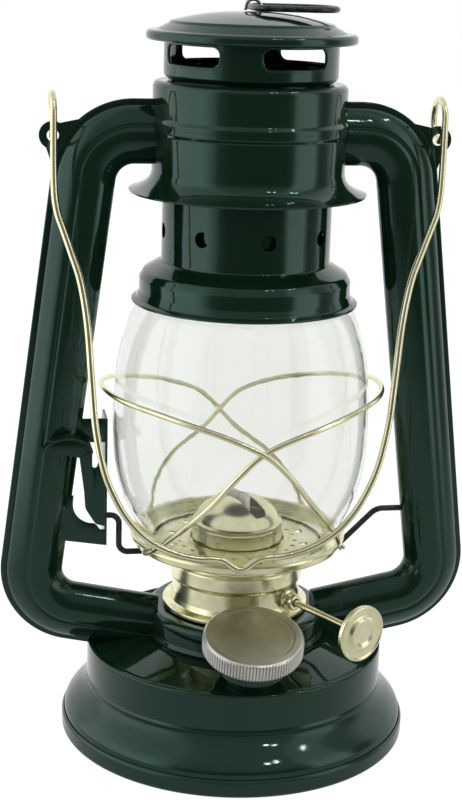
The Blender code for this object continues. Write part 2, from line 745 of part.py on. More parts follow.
def make_burner():
    """The burner, its slotted cone, the wick and the shaft that raises it."""
    ferrule = SEAT_RADIUS - GAP
    inside = BURNER_RADIUS - SHEET
    drum_foot = BURNER_FOOT + FLANGE_THICKNESS
    bead_foot = BURNER_FOOT + BURNER_DRUM_HEIGHT
    bead_top = bead_foot + BURNER_BEAD_HEIGHT
    ferrule_foot = BURNER_FOOT - FERRULE_LENGTH
    burner = turned("burner_body", "brass", [
        (0, BURNER_TOP),
        (BURNER_RADIUS, BURNER_TOP, BURNER_TOP_FILLET),
        (BURNER_RADIUS, bead_top),
        (BURNER_RADIUS + BURNER_BEAD, bead_top - BURNER_BEAD),
        (BURNER_RADIUS + BURNER_BEAD, bead_foot + BURNER_BEAD),
        (BURNER_RADIUS, bead_foot),
        (BURNER_RADIUS, drum_foot + SHEET),
        (FLANGE_RADIUS, drum_foot),
        (FLANGE_RADIUS, BURNER_FOOT),
        (ferrule, BURNER_FOOT),
        (ferrule, ferrule_foot),
        (ferrule - SHEET, ferrule_foot),
        (ferrule - SHEET, drum_foot),
        (inside, drum_foot + SHEET),
        (inside, BURNER_TOP - BURNER_TOP_FILLET),
        (inside - BURNER_TOP_FILLET + SHEET, BURNER_TOP - SHEET),
        (0, BURNER_TOP - SHEET)], closed=False, steps=MIDDLE_STEPS)
    holder_width = WICK_WIDTH + 2 * GAP + 2 * HOLDER_WALL
    holder_depth = WICK_THICKNESS + 2 * GAP + 2 * HOLDER_WALL
    turn = Matrix.Rotation(SHAFT_BEARING - math.pi / 2, 4, "Z")
    slot = block("holder_slot", "steel", holder_width + 2 * GAP, holder_depth + 2 * GAP, 2 * OVERRUN)
    put(slot, turn @ at(0, 0, BURNER_TOP))
    cut(burner, slot)
    holder_top = BURNER_TOP + HOLDER_RISE
    holder_centre = holder_top - HOLDER_LENGTH / 2
    holder = block("wick_holder", "brass", holder_width, holder_depth, HOLDER_LENGTH)
    put(holder, turn @ at(0, 0, holder_centre))
    disc_radius = ferrule - SHEET - GAP
    disc = drum("holder_disc", "brass", disc_radius, HOLDER_DISC_THICKNESS)
    put(disc, at(0, 0, BURNER_FOOT - FERRULE_LENGTH / 2))
    fuse(holder, disc)
    bore = block("holder_bore", "steel", WICK_WIDTH + 2 * GAP, WICK_THICKNESS + 2 * GAP,
                 HOLDER_LENGTH + OVERRUN)
    put(bore, turn @ at(0, 0, holder_centre))
    cut(holder, bore)
    window = block("cog_window", "steel", COG_SPACING + 2 * COG_WIDTH, OVERRUN, 2 * COG_RADIUS)
    put(window, turn @ at(0, OVERRUN / 2, SHAFT_HEIGHT))
    cut(holder, window)
    wick = block("wick", "cotton", WICK_WIDTH, WICK_THICKNESS, WICK_LENGTH)
    put(wick, turn @ at(0, 0, WICK_TIP_HEIGHT - WICK_LENGTH / 2))
    hang([wick], pivot("wick_pivot", (0, 0, WICK_TIP_HEIGHT)))
    make_cone(turn)
    make_wick_drive(burner, inside)


def make_cone(turn):
    """The slotted cone that stands on the burner's top."""
    foot = BURNER_TOP + GAP
    band_top = foot + CONE_BAND_HEIGHT
    crown = (0, foot + CONE_HEIGHT)
    dome = share_between(CONE_DOME_SHARES, (0, band_top), (CONE_RADIUS, crown[1]))
    cone = turned("burner_cone", "brass", [
        crown, *reversed(dome), (CONE_RADIUS, band_top), (CONE_RADIUS, foot)],
        closed=False, wall=SHEET, steps=SMALL_STEPS)
    slot_height = CONE_HEIGHT - CONE_BAND_HEIGHT
    slot = block("cone_slot", "steel", CONE_SLOT_LENGTH, CONE_SLOT_WIDTH, slot_height)
    put(slot, turn @ at(0, 0, crown[1]))
    cut(cone, slot)


def make_wick_drive(burner, inside):
    """The wick shaft with its toothed wheels, its bush and its knob."""
    stand = facing(SHAFT_CENTRE, SHAFT_AXIS)
    bush_radius = SHAFT_RADIUS + GAP + BUSH_WALL
    bush_tail = inside - BUSH_TAIL
    passage = drum("bush_passage", "steel", bush_radius + GAP, 2 * OVERRUN)
    put(passage, stand @ at(0, 0, inside))
    cut(burner, passage)
    bush = turned("knob_bush", "brass", [
        (bush_radius, BUSH_REACH), (bush_radius, bush_tail),
        (SHAFT_RADIUS + GAP, bush_tail), (SHAFT_RADIUS + GAP, BUSH_REACH)], steps=SMALL_STEPS)
    put(bush, stand)
    tail = -math.sqrt(inside ** 2 - SHAFT_OFFSET ** 2) + GAP + SHAFT_RADIUS
    knob_back = KNOB_REACH - KNOB_THICKNESS
    length = knob_back - GAP - tail
    shaft = drum("wick_shaft", "brass", SHAFT_RADIUS, length, steps=SMALL_STEPS // 2)
    put(shaft, stand @ at(0, 0, tail + length / 2))
    cogs = []
    for name, side in (("wick_cog_front", 1), ("wick_cog_back", -1)):
        outline = []
        for tooth in range(4 * COG_TEETH):
            angle = math.pi * tooth / (2 * COG_TEETH)
            radius = COG_RADIUS - COG_TOOTH_DEPTH * (tooth % 4 // 2)
            outline.append((radius * math.cos(angle), radius * math.sin(angle)))
        bore = circle(SHAFT_RADIUS + GAP, SMALL_STEPS)
        cog = plate(name, "brass", outline, COG_WIDTH, [bore])
        put(cog, stand @ at(0, 0, side * COG_SPACING / 2))
        cogs.append(cog)
    ring = KNOB_RING_RADIUS
    knob = turned("wick_knob", "brass", [
        (0, KNOB_RING_HEIGHT),
        (ring, KNOB_RING_HEIGHT),
        (ring + KNOB_RING_HEIGHT, 0),
        (KNOB_RADIUS, 0, KNOB_RING_HEIGHT / 2),
        (KNOB_RADIUS, -KNOB_THICKNESS),
        (0, -KNOB_THICKNESS)], closed=False)
    put(knob, stand @ at(0, 0, KNOB_REACH))
    hang([shaft, knob, *cogs], pivot("knob_pivot", SHAFT_CENTRE))


def make_globe_carrier():
    """The globe plate with its vents, the globe on it, and the guard wires soldered to its rim."""
    rim_top = PLATE_FOOT + PLATE_RIM_HEIGHT
    floor = PLATE_FOOT + SHEET
    globe_plate = turned("globe_plate", "brass", [
        (PLATE_RADIUS - PLATE_ROLL, rim_top),
        (PLATE_RADIUS, rim_top - PLATE_ROLL / 2),
        (PLATE_RADIUS, rim_top - PLATE_ROLL),
        (PLATE_RADIUS, PLATE_FOOT, PLATE_ROLL),
        (PLATE_HOLE_RADIUS, PLATE_FOOT),
        (PLATE_HOLE_RADIUS, floor),
        (PLATE_RADIUS - 2 * PLATE_ROLL, floor),
        (PLATE_RADIUS - PLATE_ROLL, floor + SHEET)])
    for step in range(PLATE_VENTS):
        angle = 2 * math.pi * (step + PLATE_VENT_TURN) / PLATE_VENTS
        vent = drum("plate_vent_%d" % step, "steel", PLATE_VENT_RADIUS, 2 * OVERRUN, steps=VENT_STEPS)
        put(vent, Matrix.Rotation(angle, 4, "Z") @ at(PLATE_VENT_CIRCLE, 0, PLATE_FOOT))
        cut(globe_plate, vent)
    outline = [
        (GLOBE_RADIUS * across, GLOBE_FOOT + GLOBE_HEIGHT * up) for across, up in GLOBE_SHARES]
    globe = turned("glass_globe", "glass", outline, closed=False, wall=GLOBE_WALL)
    left = wire("guard_wire_left", "brass", guard_route(-1), GUARD_WIRE_RADIUS, resolution=1)
    right = wire("guard_wire_right", "brass", guard_route(1), GUARD_WIRE_RADIUS, resolution=1)
    hang([globe_plate, globe, left, right], pivot("globe_pivot", (0, 0, PLATE_FOOT)))


def guard_route(side):
    """One guard wire: from the rim at the back, round its own side of the globe, to the rim in front."""
    foot = PLATE_FOOT + GUARD_FOOT_RISE
    rim = PLATE_RADIUS + GAP + GUARD_WIRE_RADIUS
    step_out = GUARD_WIRE_RADIUS + GAP / 2
    stations = []
    for degrees, share in GUARD_ROUTE_SHARES:
        stations.append(Vector((math.radians(degrees) * GUARD_HEIGHT, 0, foot + GUARD_HEIGHT * share)))
    route = []
    for station in smooth_route(stations, GUARD_POINTS):
        angle = station.x / GUARD_HEIGHT
        radius = max(rim, globe_radius(station.z) + GUARD_STANDOFF)
        for crossing in (math.pi, 2 * math.pi):
            away = abs(angle - crossing)
            if away < GUARD_CROSSING:
                radius -= side * step_out * math.cos(away / GUARD_CROSSING * math.pi / 2) ** 2
        x = radius * math.sin(angle) * -side
        route.append((x, -radius * math.cos(angle), station.z))
    return route


def make_hood():
    """The hood: bell, inner chimney, slotted collar, cap plate, staple and ring, with the spring."""
    neck = (BELL_NECK_RADIUS, BELL_NECK_FOOT)
    skirt = share_between(BELL_SHARES, (BELL_NECK_RADIUS, BELL_RIM), (BELL_RIM_RADIUS, BELL_NECK_FOOT))
    bell = turned("bell", "enamel", [
        (CHIMNEY_RADIUS + GAP, BELL_TOP), (BELL_NECK_RADIUS, BELL_TOP, SHEET), neck,
        *skirt, (BELL_RIM_RADIUS, BELL_RIM)], closed=False, wall=SHEET, steps=MIDDLE_STEPS)
    for step in range(BELL_HOLES):
        angle = BELL_HOLE_BEARING + 2 * math.pi * step / BELL_HOLES
        axis = Vector((math.sin(angle), -math.cos(angle), 0))
        hole = drum("bell_hole_%d" % step, "steel", BELL_HOLE_RADIUS, 2 * OVERRUN, steps=VENT_STEPS)
        place = axis * BELL_NECK_RADIUS + Vector((0, 0, BELL_NECK_FOOT + BELL_HOLE_RISE))
        put(hole, facing(place, axis))
        cut(bell, hole)
    mouth = GLOBE_TOP + GAP
    chimney_top = VENT_FOOT + WINDOW_RISE - VENT_FOOT_HEIGHT
    chimney = turned("chimney_tube", "enamel", [
        (CHIMNEY_RADIUS, chimney_top),
        (CHIMNEY_RADIUS, mouth + CHIMNEY_MOUTH_HEIGHT),
        (CHIMNEY_MOUTH_RADIUS, mouth + CHIMNEY_LIP),
        (CHIMNEY_MOUTH_RADIUS, mouth)], closed=False, wall=SHEET, steps=MIDDLE_STEPS)
    pieces = [bell, chimney, make_vent(), make_lid(), make_staple()]
    hang(pieces, pivot("hood_pivot", (0, 0, BELL_RIM)))
    make_lift_ring()
    make_spring()


def make_vent():
    """The slotted collar under the cap plate."""
    slope = LID_SHOULDER_RISE / (LID_SLOPE_RADIUS - LID_SHOULDER_RADIUS)
    rise = (LID_SLOPE_RADIUS - VENT_RADIUS) * slope
    top = LID_SLOPE + rise - SHEET - 2 * GAP
    vent = turned("slotted_collar", "enamel", [
        (VENT_RADIUS, top),
        (VENT_RADIUS, VENT_FOOT + VENT_FOOT_HEIGHT),
        (VENT_RADIUS - VENT_FOOT_HEIGHT, VENT_FOOT),
        (CHIMNEY_RADIUS + GAP, VENT_FOOT)], closed=False, wall=SHEET, steps=MIDDLE_STEPS)
    width = 2 * VENT_RADIUS * math.sin(WINDOW_HALF_ANGLE)
    for index, bearing in enumerate(WINDOW_BEARINGS):
        half = width / 2
        outline = fillet([
            (-half, 0, WINDOW_CORNER), (half, 0, WINDOW_CORNER),
            (half, WINDOW_HEIGHT, WINDOW_CORNER), (-half, WINDOW_HEIGHT, WINDOW_CORNER)])
        window = plate("window_%d" % index, "steel", outline, 2 * OVERRUN)
        stand = Matrix.Rotation(bearing, 4, "Z") @ at(0, -VENT_RADIUS, VENT_FOOT + WINDOW_RISE)
        put(window, stand @ Matrix.Rotation(math.pi / 2, 4, "X"))
        cut(vent, window)
    return vent


def make_lid():
    """The domed cap plate with its turned-down rim."""
    crown = share_between(LID_CROWN_SHARES, (0, LID_SHOULDER), (LID_SHOULDER_RADIUS, LID_TOP))
    return turned("top_cap", "enamel", [
        (0, LID_TOP),
        *reversed(crown),
        (LID_SHOULDER_RADIUS, LID_SHOULDER),
        (LID_SLOPE_RADIUS, LID_SLOPE),
        (LID_RIM_RADIUS, LID_SLOPE, SHEET),
        (LID_RIM_RADIUS, LID_RIM)], closed=False, wall=SHEET, steps=MIDDLE_STEPS)


def make_staple():
    """The staple that stands on the cap plate."""
    arch = []
    for step in range(SMALL_STEPS // 2 + 1):
        angle = math.pi * step / (SMALL_STEPS // 2)
        arch.append((STAPLE_RADIUS * math.cos(angle), 0, RING_HEIGHT + STAPLE_RADIUS * math.sin(angle)))
    foot = LID_TOP + GAP
    arch = [(STAPLE_RADIUS, 0, foot), *arch, (-STAPLE_RADIUS, 0, foot)]
    return wire("ring_staple", "nickel", arch, STAPLE_WIRE_RADIUS)


def make_lift_ring():
    """The lift ring through the staple."""
    legs = STAPLE_RADIUS - STAPLE_WIRE_RADIUS
    half = RING_WIDTH / 2
    corners = [
        (0, half, RING_CORNER), (0, -half, RING_CORNER),
        (RING_LENGTH, -half, half - legs), (RING_LENGTH, half, half - legs)]
    loop = [(corner.x, corner.y, RING_HEIGHT) for corner in fillet(corners)]
    ring = wire("lift_ring", "black", loop, RING_WIRE_RADIUS, cyclic=True)
    hang([ring], pivot("ring_pivot", (0, 0, RING_HEIGHT)))


def make_spring():
    """The coil that keeps the hood down, between the bell's ledge and the chamber's lid."""
    radius = (CHIMNEY_RADIUS + BELL_NECK_RADIUS) / 2 + SPRING_WIRE_RADIUS
    foot = BELL_TOP + GAP + SPRING_WIRE_RADIUS
    top = CHAMBER_TOP - SHEET - GAP - SPRING_WIRE_RADIUS
    count = SPRING_TURNS * SPRING_TURN_POINTS
    coil = []
    for step in range(count + 1):
        angle = 2 * math.pi * step / SPRING_TURN_POINTS
        height = foot + (top - foot) * step / count
        coil.append((radius * math.cos(angle), radius * math.sin(angle), height))
    wire("hood_spring", "steel", coil, SPRING_WIRE_RADIUS, resolution=1)
    print("hood_spring, least gap to itself in metres:", round(coil_gap(coil), 5))


def coil_gap(coil):
    """The least gap between a coil's turns, measured between points half a turn or more apart."""
    apart = SPRING_TURN_POINTS // 2
    spans = []
    for index, place in enumerate(coil):
        for other in coil[index + apart:]:
            spans.append((Vector(place) - Vector(other)).length)
    return min(spans) - 2 * SPRING_WIRE_RADIUS


def make_chamber():
    """The air chamber: a flared skirt and a lid that meet at the bead."""
    bead = CHAMBER_RADIUS + SEAM_BEAD
    lid = turned("chamber_top", "enamel", [
        (CHIMNEY_RADIUS + GAP, CHAMBER_TOP),
        (CHAMBER_RADIUS, CHAMBER_TOP, CHAMBER_FILLET),
        (CHAMBER_RADIUS, CHAMBER_SEAM + SEAM_BEAD_HEIGHT + SEAM_BEAD),
        (bead, CHAMBER_SEAM + SEAM_BEAD_HEIGHT),
        (bead, CHAMBER_SEAM + GAP)], closed=False, wall=SHEET, steps=MIDDLE_STEPS)
    flare_top = CHAMBER_FOOT + SKIRT_FLARE_HEIGHT
    flare = share_between(SKIRT_SHARES, (CHAMBER_RADIUS, CHAMBER_FOOT), (SKIRT_RADIUS, flare_top))
    skirt = turned("chamber_skirt", "enamel", [
        (bead, CHAMBER_SEAM),
        (bead, CHAMBER_SEAM - SEAM_BEAD_HEIGHT),
        (CHAMBER_RADIUS, CHAMBER_SEAM - SEAM_BEAD_HEIGHT - SEAM_BEAD),
        (CHAMBER_RADIUS, flare_top),
        *flare,
        (SKIRT_RADIUS, CHAMBER_FOOT)], closed=False, wall=SHEET, steps=MIDDLE_STEPS)
    return lid, skirt


def tube_corners(side):
    """The corners of an air tube's centre line, from inside the chamber to inside the collar."""
    inner = CHIMNEY_RADIUS
    drop = (TUBE_FOOT_REACH - inner) * math.tan(TUBE_FOOT_SLOPE)
    return [
        (side * inner, TUBE_TOP_HEIGHT),
        (side * TUBE_TOP_REACH, TUBE_TOP_HEIGHT),
        (side * TUBE_FOOT_REACH, TUBE_FOOT_HEIGHT),
        (side * inner, TUBE_FOOT_HEIGHT - drop)]


def tube_section(shares, side, room=0):
    """A tube's section, grown by some room, with the outer side away from the lantern's middle."""
    half = []
    for across, depth in shares:
        reach = TUBE_HALF_WIDTH if across > 0 else TUBE_INNER_HALF_WIDTH
        half.append((-side * (reach + room) * across, (TUBE_HALF_DEPTH + room) * depth))
    return half + [(x, -y) for x, y in reversed(half)]


def tube_route(side):
    """The centre line of an air tube, in the XZ plane."""
    return bent_route(tube_corners(side), [TUBE_BEND_RADIUS, TUBE_BEND_RADIUS], TUBE_BEND_POINTS)


def make_tube(side, name, lid, skirt, tank_envelope, chamber_envelope, collar_envelope):
    """One air tube with its seam fin, open at both ends, and the holes it needs in the chamber."""
    route = tube_route(side)
    fin_foot = TUBE_HALF_WIDTH * TUBE_SECTION_SHARES[0][0] - SHEET / 2
    fin_half = FIN_THICKNESS / 2
    strip = [(fin_foot, fin_half), (FIN_REACH, fin_half), (FIN_REACH, -fin_half), (fin_foot, -fin_half)]
    strip = [(-side * x, y) for x, y in strip]
    tube = swept(name, "enamel", route, tube_section(TUBE_SECTION_SHARES, side))
    fuse(tube, swept(name + "_fin", "enamel", route, strip))
    bore = swept(name + "_bore", "enamel", route, tube_section(TUBE_BORE_SHARES, side))
    cut(tube, bore)
    for envelope in (chamber_envelope, collar_envelope, tank_envelope):
        cut(tube, envelope)
    cut(lid, bore)
    cut(skirt, bore)
    return tube, bore


def make_envelopes():
    """Solids that stand for the chamber, the collar and the tank when a tube is cut to meet them."""
    room = GAP + SEAM_BEAD
    chamber = drum("chamber_envelope", "enamel", CHAMBER_RADIUS + room, CHAMBER_HEIGHT, steps=ROUND_STEPS)
    put(chamber, at(0, 0, CHAMBER_FOOT + CHAMBER_HEIGHT / 2))
    collar = drum("collar_envelope", "enamel", COLLAR_RADIUS + GAP, TANK_RADIUS, steps=ROUND_STEPS)
    put(collar, at(0, 0, TANK_TOP + OVERRUN))
    tank = turned("tank_envelope", "enamel", [
        (0, TANK_TOP + GAP), *tank_outline(GAP), (0, FOOT_BAND_HEIGHT)], closed=False)
    return tank, chamber, collar


def make_ear(side, name):
    """A bail ear on the elbow of an air tube."""
    centre = elbow_centre(side)
    inner = TUBE_BEND_RADIUS + FIN_REACH + GAP
    hole = ear_hole(side)
    outline = []
    for step in range(EAR_POINTS + 1):
        angle = EAR_BEARING + EAR_SPREAD - 2 * EAR_SPREAD * step / EAR_POINTS
        outline.append((centre.x + side * inner * math.cos(angle), centre.y + inner * math.sin(angle)))
    for step in range(EAR_POINTS + 1):
        angle = EAR_BEARING + math.pi * (step / EAR_POINTS - 1 / 2)
        outline.append((hole.x + side * EAR_RADIUS * math.cos(angle), hole.y + EAR_RADIUS * math.sin(angle)))
    ring = circle(EAR_HOLE_RADIUS, EAR_POINTS, hole.x, hole.y)
    ear = plate(name, "enamel", outline, EAR_THICKNESS, [ring])
    put(ear, Matrix.Rotation(math.pi / 2, 4, "X"))


def elbow_centre(side):
    """The centre of a tube's top elbow, as (x, z)."""
    corners = tube_corners(side)
    here = Vector(corners[1])
    before = (Vector(corners[0]) - here).normalized()
    after = (Vector(corners[2]) - here).normalized()
    half = before.angle(after) / 2
    return here + (before + after).normalized() * TUBE_BEND_RADIUS / math.sin(half)


def ear_hole(side):
    """The centre of an ear's hole, as (x, z)."""
    reach = TUBE_BEND_RADIUS + FIN_REACH + EAR_STANDOFF
    centre = elbow_centre(side)
    return Vector((
        centre.x + side * reach * math.cos(EAR_BEARING), centre.y + reach * math.sin(EAR_BEARING)))


def bail_pivot_height():
    """The height of the bail's hinge line, the middle of its eyes."""
    return ear_hole(1).y + BAIL_EYE_RADIUS - (EAR_HOLE_RADIUS - BAIL_WIRE_RADIUS) / 2


def bail_route():
    """The bail's wire: round one eye, down an arm, across the notched middle and back up."""
    eye_x = ear_hole(1).x
    right = [(eye_x, 0)] + [(eye_x * width, BAIL_DROP * down) for down, width in BAIL_SHARES]
    right.append((eye_x * BAIL_NOTCH_SHARE, BAIL_DROP))
    bottom = (0, BAIL_DROP + BAIL_NOTCH_DEPTH)
    flat = [(-x, q) for x, q in right] + [bottom] + list(reversed(right))
    leaned = [Vector((x + BAIL_LEAN * q / BAIL_DROP, -BAIL_EYE_RADIUS, -q)) for x, q in flat]
    arms = smooth_route(leaned, BAIL_POINTS)
    sweep = 2 * math.pi - BAIL_EYE_OPENING
    left_eye, right_eye = [], []
    for step in range(1, BAIL_EYE_POINTS + 1):
        angle = sweep * step / BAIL_EYE_POINTS
        place = (-BAIL_EYE_RADIUS * math.cos(angle), BAIL_EYE_RADIUS * math.sin(angle))
        left_eye.append(Vector((-eye_x, *place)))
        right_eye.append(Vector((eye_x, *place)))
    hanging = Matrix.Rotation(-BAIL_HANG, 3, "X")
    rise = Vector((0, 0, bail_pivot_height()))
    return [hanging @ point + rise for point in list(reversed(left_eye)) + arms + right_eye]


def make_bail():
    """The wire bail, its eyes threaded through the ears."""
    bail = wire("bail", "brass", bail_route(), BAIL_WIRE_RADIUS)
    hang([bail], pivot("bail_pivot", (0, 0, bail_pivot_height())))


def make_lifter(right_tube, left_grown):
    """The crank wire under the globe plate, its bracket on the left tube, and the lever."""
    low = CRANK_HEIGHT - CRANK_THROW
    under_plate = PLATE_FOOT - GAP - CRANK_WIRE_RADIUS
    yoke = CRANK_YOKE_RADIUS
    corners = [
        (-CRANK_LEFT_X, 0, CRANK_HEIGHT), (-CRANK_LEFT_BEND_X, 0, CRANK_HEIGHT),
        (-CRANK_LEFT_BEND_X, 0, low), (-yoke, 0, low),
        (-yoke, yoke, under_plate), (yoke, yoke, under_plate),
        (yoke, 0, low), (CRANK_RIGHT_FOOT_X, 0, low),
        (CRANK_RIGHT_BEND_X, 0, CRANK_HEIGHT), (tube_inner_face() + OVERRUN / 2, 0, CRANK_HEIGHT)]
    bends = [
        CRANK_BEND, CRANK_BEND, CRANK_BEND, CRANK_YOKE_BEND, CRANK_YOKE_BEND, CRANK_BEND,
        CRANK_SLANT_BEND, CRANK_SLANT_BEND]
    route = bent_route(corners, bends, CRANK_BEND_POINTS)
    crank = wire("crank_wire", "black", route, CRANK_WIRE_RADIUS)
    hole = drum("crank_hole", "steel", CRANK_WIRE_RADIUS + GAP, 2 * OVERRUN)
    put(hole, facing((tube_inner_face() + OVERRUN / 2, 0, CRANK_HEIGHT), (1, 0, 0)))
    cut(right_tube, hole)
    make_bracket(left_grown)
    lever = make_lever()
    hang([crank, lever], pivot("lever_pivot", (0, 0, CRANK_HEIGHT)))


def tube_inner_face():
    """Where the inside of an air tube stands at the crank's height."""
    slope = (TUBE_FOOT_REACH - TUBE_TOP_REACH) / (TUBE_TOP_HEIGHT - TUBE_FOOT_HEIGHT)
    centre = TUBE_FOOT_REACH - slope * (CRANK_HEIGHT - TUBE_FOOT_HEIGHT)
    return centre - TUBE_INNER_HALF_WIDTH


def make_bracket(left_grown):
    """The bracket: a web beside the globe with an arm at each end, held by the left tube."""
    web_outline = [
        (-WEB_FRONT, WEB_FOOT_HEIGHT), (WEB_BACK / 2, WEB_FOOT_HEIGHT),
        (WEB_BACK, CRANK_HEIGHT), (WEB_BACK, WEB_TOP_HEIGHT - ARM_UPPER_HEIGHT),
        (WEB_BACK / 2, WEB_TOP_HEIGHT), (-WEB_FRONT, WEB_TOP_HEIGHT)]
    web_hole = circle(CRANK_WIRE_RADIUS + GAP, EAR_POINTS, 0, CRANK_HEIGHT)
    bracket = plate("lift_bracket", "enamel", web_outline, BRACKET_THICKNESS, [web_hole])
    stand = Matrix(((0, 0, 1, -WEB_X), (1, 0, 0, 0), (0, 1, 0, 0), (0, 0, 0, 1)))
    put(bracket, stand)
    inner = WEB_X - BRACKET_THICKNESS / 2
    length = tube_inner_face() + TUBE_INNER_HALF_WIDTH - inner
    for name, height, foot in (
            ("arm_lower", ARM_LOWER_HEIGHT, WEB_FOOT_HEIGHT),
            ("arm_upper", ARM_UPPER_HEIGHT, WEB_TOP_HEIGHT - ARM_UPPER_HEIGHT)):
        arm = block(name, "enamel", length, BRACKET_THICKNESS, height)
        put(arm, at(-inner - length / 2, -WEB_FRONT + BRACKET_THICKNESS / 2, foot + height / 2))
        fuse(bracket, arm)
    cut(bracket, left_grown)


def make_lever():
    """The thumb lever: a plate in front of the bracket, its hub on the crank, and a curled tab."""
    inner_x = WEB_X + BRACKET_THICKNESS / 2 + GAP
    outer_x = inner_x + LEVER_FOOT_WIDTH
    stem_x = outer_x - LEVER_STEM_WIDTH
    foot = CRANK_HEIGHT - LEVER_HUB_RADIUS
    shoulder = CRANK_HEIGHT + LEVER_FOOT_RISE
    stem_top = CRANK_HEIGHT + LEVER_STEM_RISE
    face = [
        (-inner_x, foot), (-inner_x, shoulder), (-stem_x, CRANK_HEIGHT + LEVER_FOOT_RISE / 2),
        (-stem_x, stem_top), (-outer_x, stem_top), (-outer_x, CRANK_HEIGHT), (-stem_x, foot)]
    lever = plate("lift_lever", "enamel", face, LEVER_THICKNESS)
    upright = Matrix.Rotation(math.pi / 2, 4, "X")
    put(lever, at(0, -LEVER_FRONT, 0) @ upright)
    hub_outline = [(-LEVER_FRONT, CRANK_HEIGHT), (0, foot)]
    for step in range(1, EAR_POINTS):
        angle = -math.pi / 2 + math.pi * step / EAR_POINTS
        height = CRANK_HEIGHT + LEVER_HUB_RADIUS * math.sin(angle)
        hub_outline.append((LEVER_HUB_RADIUS * math.cos(angle), height))
    top = CRANK_HEIGHT + LEVER_HUB_RADIUS
    hub_outline += [(0, top), (-LEVER_FRONT, top)]
    hub_hole = circle(CRANK_WIRE_RADIUS + GAP, EAR_POINTS, 0, CRANK_HEIGHT)
    hub = plate("lever_hub", "enamel", hub_outline, LEVER_THICKNESS, [hub_hole])
    hub_x = inner_x + LEVER_THICKNESS / 2
    put(hub, Matrix(((0, 0, 1, -hub_x), (1, 0, 0, 0), (0, 1, 0, 0), (0, 0, 0, 1))))
    fuse(lever, hub)
    middle = (stem_x + outer_x + LEVER_TAB_REACH) / 2
    arcs = []
    for thin in (0, LEVER_THICKNESS):
        reach = middle - stem_x - thin
        arch = LEVER_TAB_ARCH - thin
        arc = []
        for step in range(LEVER_TAB_POINTS + 1):
            angle = math.pi * step / LEVER_TAB_POINTS
            arc.append((-middle + reach * math.cos(angle), stem_top + arch * math.sin(angle)))
        arcs.append(arc)
    outer_arc, inner_arc = arcs
    tab = plate("lever_tab", "enamel", outer_arc + list(reversed(inner_arc)), LEVER_TAB_DEPTH)
    back = -LEVER_FRONT + LEVER_THICKNESS / 2
    put(tab, at(0, back - LEVER_TAB_DEPTH / 2, -LEVER_THICKNESS) @ upright)
    fuse(lever, tab)
    return lever


def main():
    """Build the lantern."""
    tank, collar = make_tank()
    make_filler(tank)
    make_burner()
    make_globe_carrier()
    make_hood()
    lid, skirt = make_chamber()
    tank_envelope, chamber_envelope, collar_envelope = make_envelopes()
    tubes = {}
    for side, name in ((-1, "air_tube_left"), (1, "air_tube_right")):
        tube, bore = make_tube(side, name, lid, skirt, tank_envelope, chamber_envelope, collar_envelope)
        cut(collar, bore)
        tubes[side] = tube
    make_ear(-1, "bail_ear_left")
    make_ear(1, "bail_ear_right")
    make_bail()
    grown = swept("tube_grown", "steel", tube_route(-1), tube_section(TUBE_SECTION_SHARES, -1, GAP))
    make_lifter(tubes[1], grown)


clear_scene()
PARTS = collection("hurricane_lantern")
CUTTERS = collection("cutters")
main()
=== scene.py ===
"""The hurricane lantern, dressed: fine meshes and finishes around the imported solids.

Lengths are in metres, and angles in radians unless something says degrees. The rows of a
profile's detail are shifts in radius and height from one corner, and perhaps a fillet there.
"""

from __future__ import annotations

import logging
import math
import sys
from dataclasses import dataclass
from enum import Enum
from typing import Callable, Optional, Sequence, Union

import bmesh
import bpy
from mathutils import Matrix, Vector

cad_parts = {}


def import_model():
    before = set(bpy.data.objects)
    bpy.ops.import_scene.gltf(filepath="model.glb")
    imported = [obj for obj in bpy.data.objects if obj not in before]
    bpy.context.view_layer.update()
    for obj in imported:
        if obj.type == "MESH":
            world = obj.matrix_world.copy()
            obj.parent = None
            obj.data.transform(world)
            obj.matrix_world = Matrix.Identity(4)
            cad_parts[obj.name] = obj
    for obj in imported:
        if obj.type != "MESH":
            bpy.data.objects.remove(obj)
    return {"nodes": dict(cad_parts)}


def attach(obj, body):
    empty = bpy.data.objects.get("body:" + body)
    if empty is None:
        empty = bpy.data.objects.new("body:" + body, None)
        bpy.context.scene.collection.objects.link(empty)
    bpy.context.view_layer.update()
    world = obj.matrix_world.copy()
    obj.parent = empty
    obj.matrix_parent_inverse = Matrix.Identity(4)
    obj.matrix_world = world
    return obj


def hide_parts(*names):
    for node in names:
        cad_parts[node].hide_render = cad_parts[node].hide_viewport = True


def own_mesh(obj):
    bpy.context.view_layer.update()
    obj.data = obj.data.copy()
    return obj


LOG = logging.getLogger("lantern")

Colour = tuple[float, float, float]
Points = Sequence[Sequence[float]]

MERGE = 1e-6
HOLD = 0.14
MITRE_LIMIT = 0.5
FINE_TURN = 144
MIDDLE_TURN = 96
SMALL_TURN = 48
FILLET_STEPS = 7
WIRE_SIDES = 14
WIRE_DOME = ((0.0, 0.55), (0.12, 0.86), (0.45, 1.0))
CREASE = math.radians(38.0)
SHEET = 0.0006
GAP = 0.0003
PIERCE = 0.006
DEBURR = 0.00015
SIDES = ((-1, "left"), (1, "right"))


class Metal(Enum):
    """The record's finish slots."""

    ENAMEL = "green_enamel"
    BRASS = "brass"
    NICKEL = "nickel"
    GLASS = "clear_glass"
    BLACK = "black_wire"
    SPRING = "spring_steel"
    COTTON = "wick_cotton"
    RUBBER = "seal_rubber"


# Routes and outlines


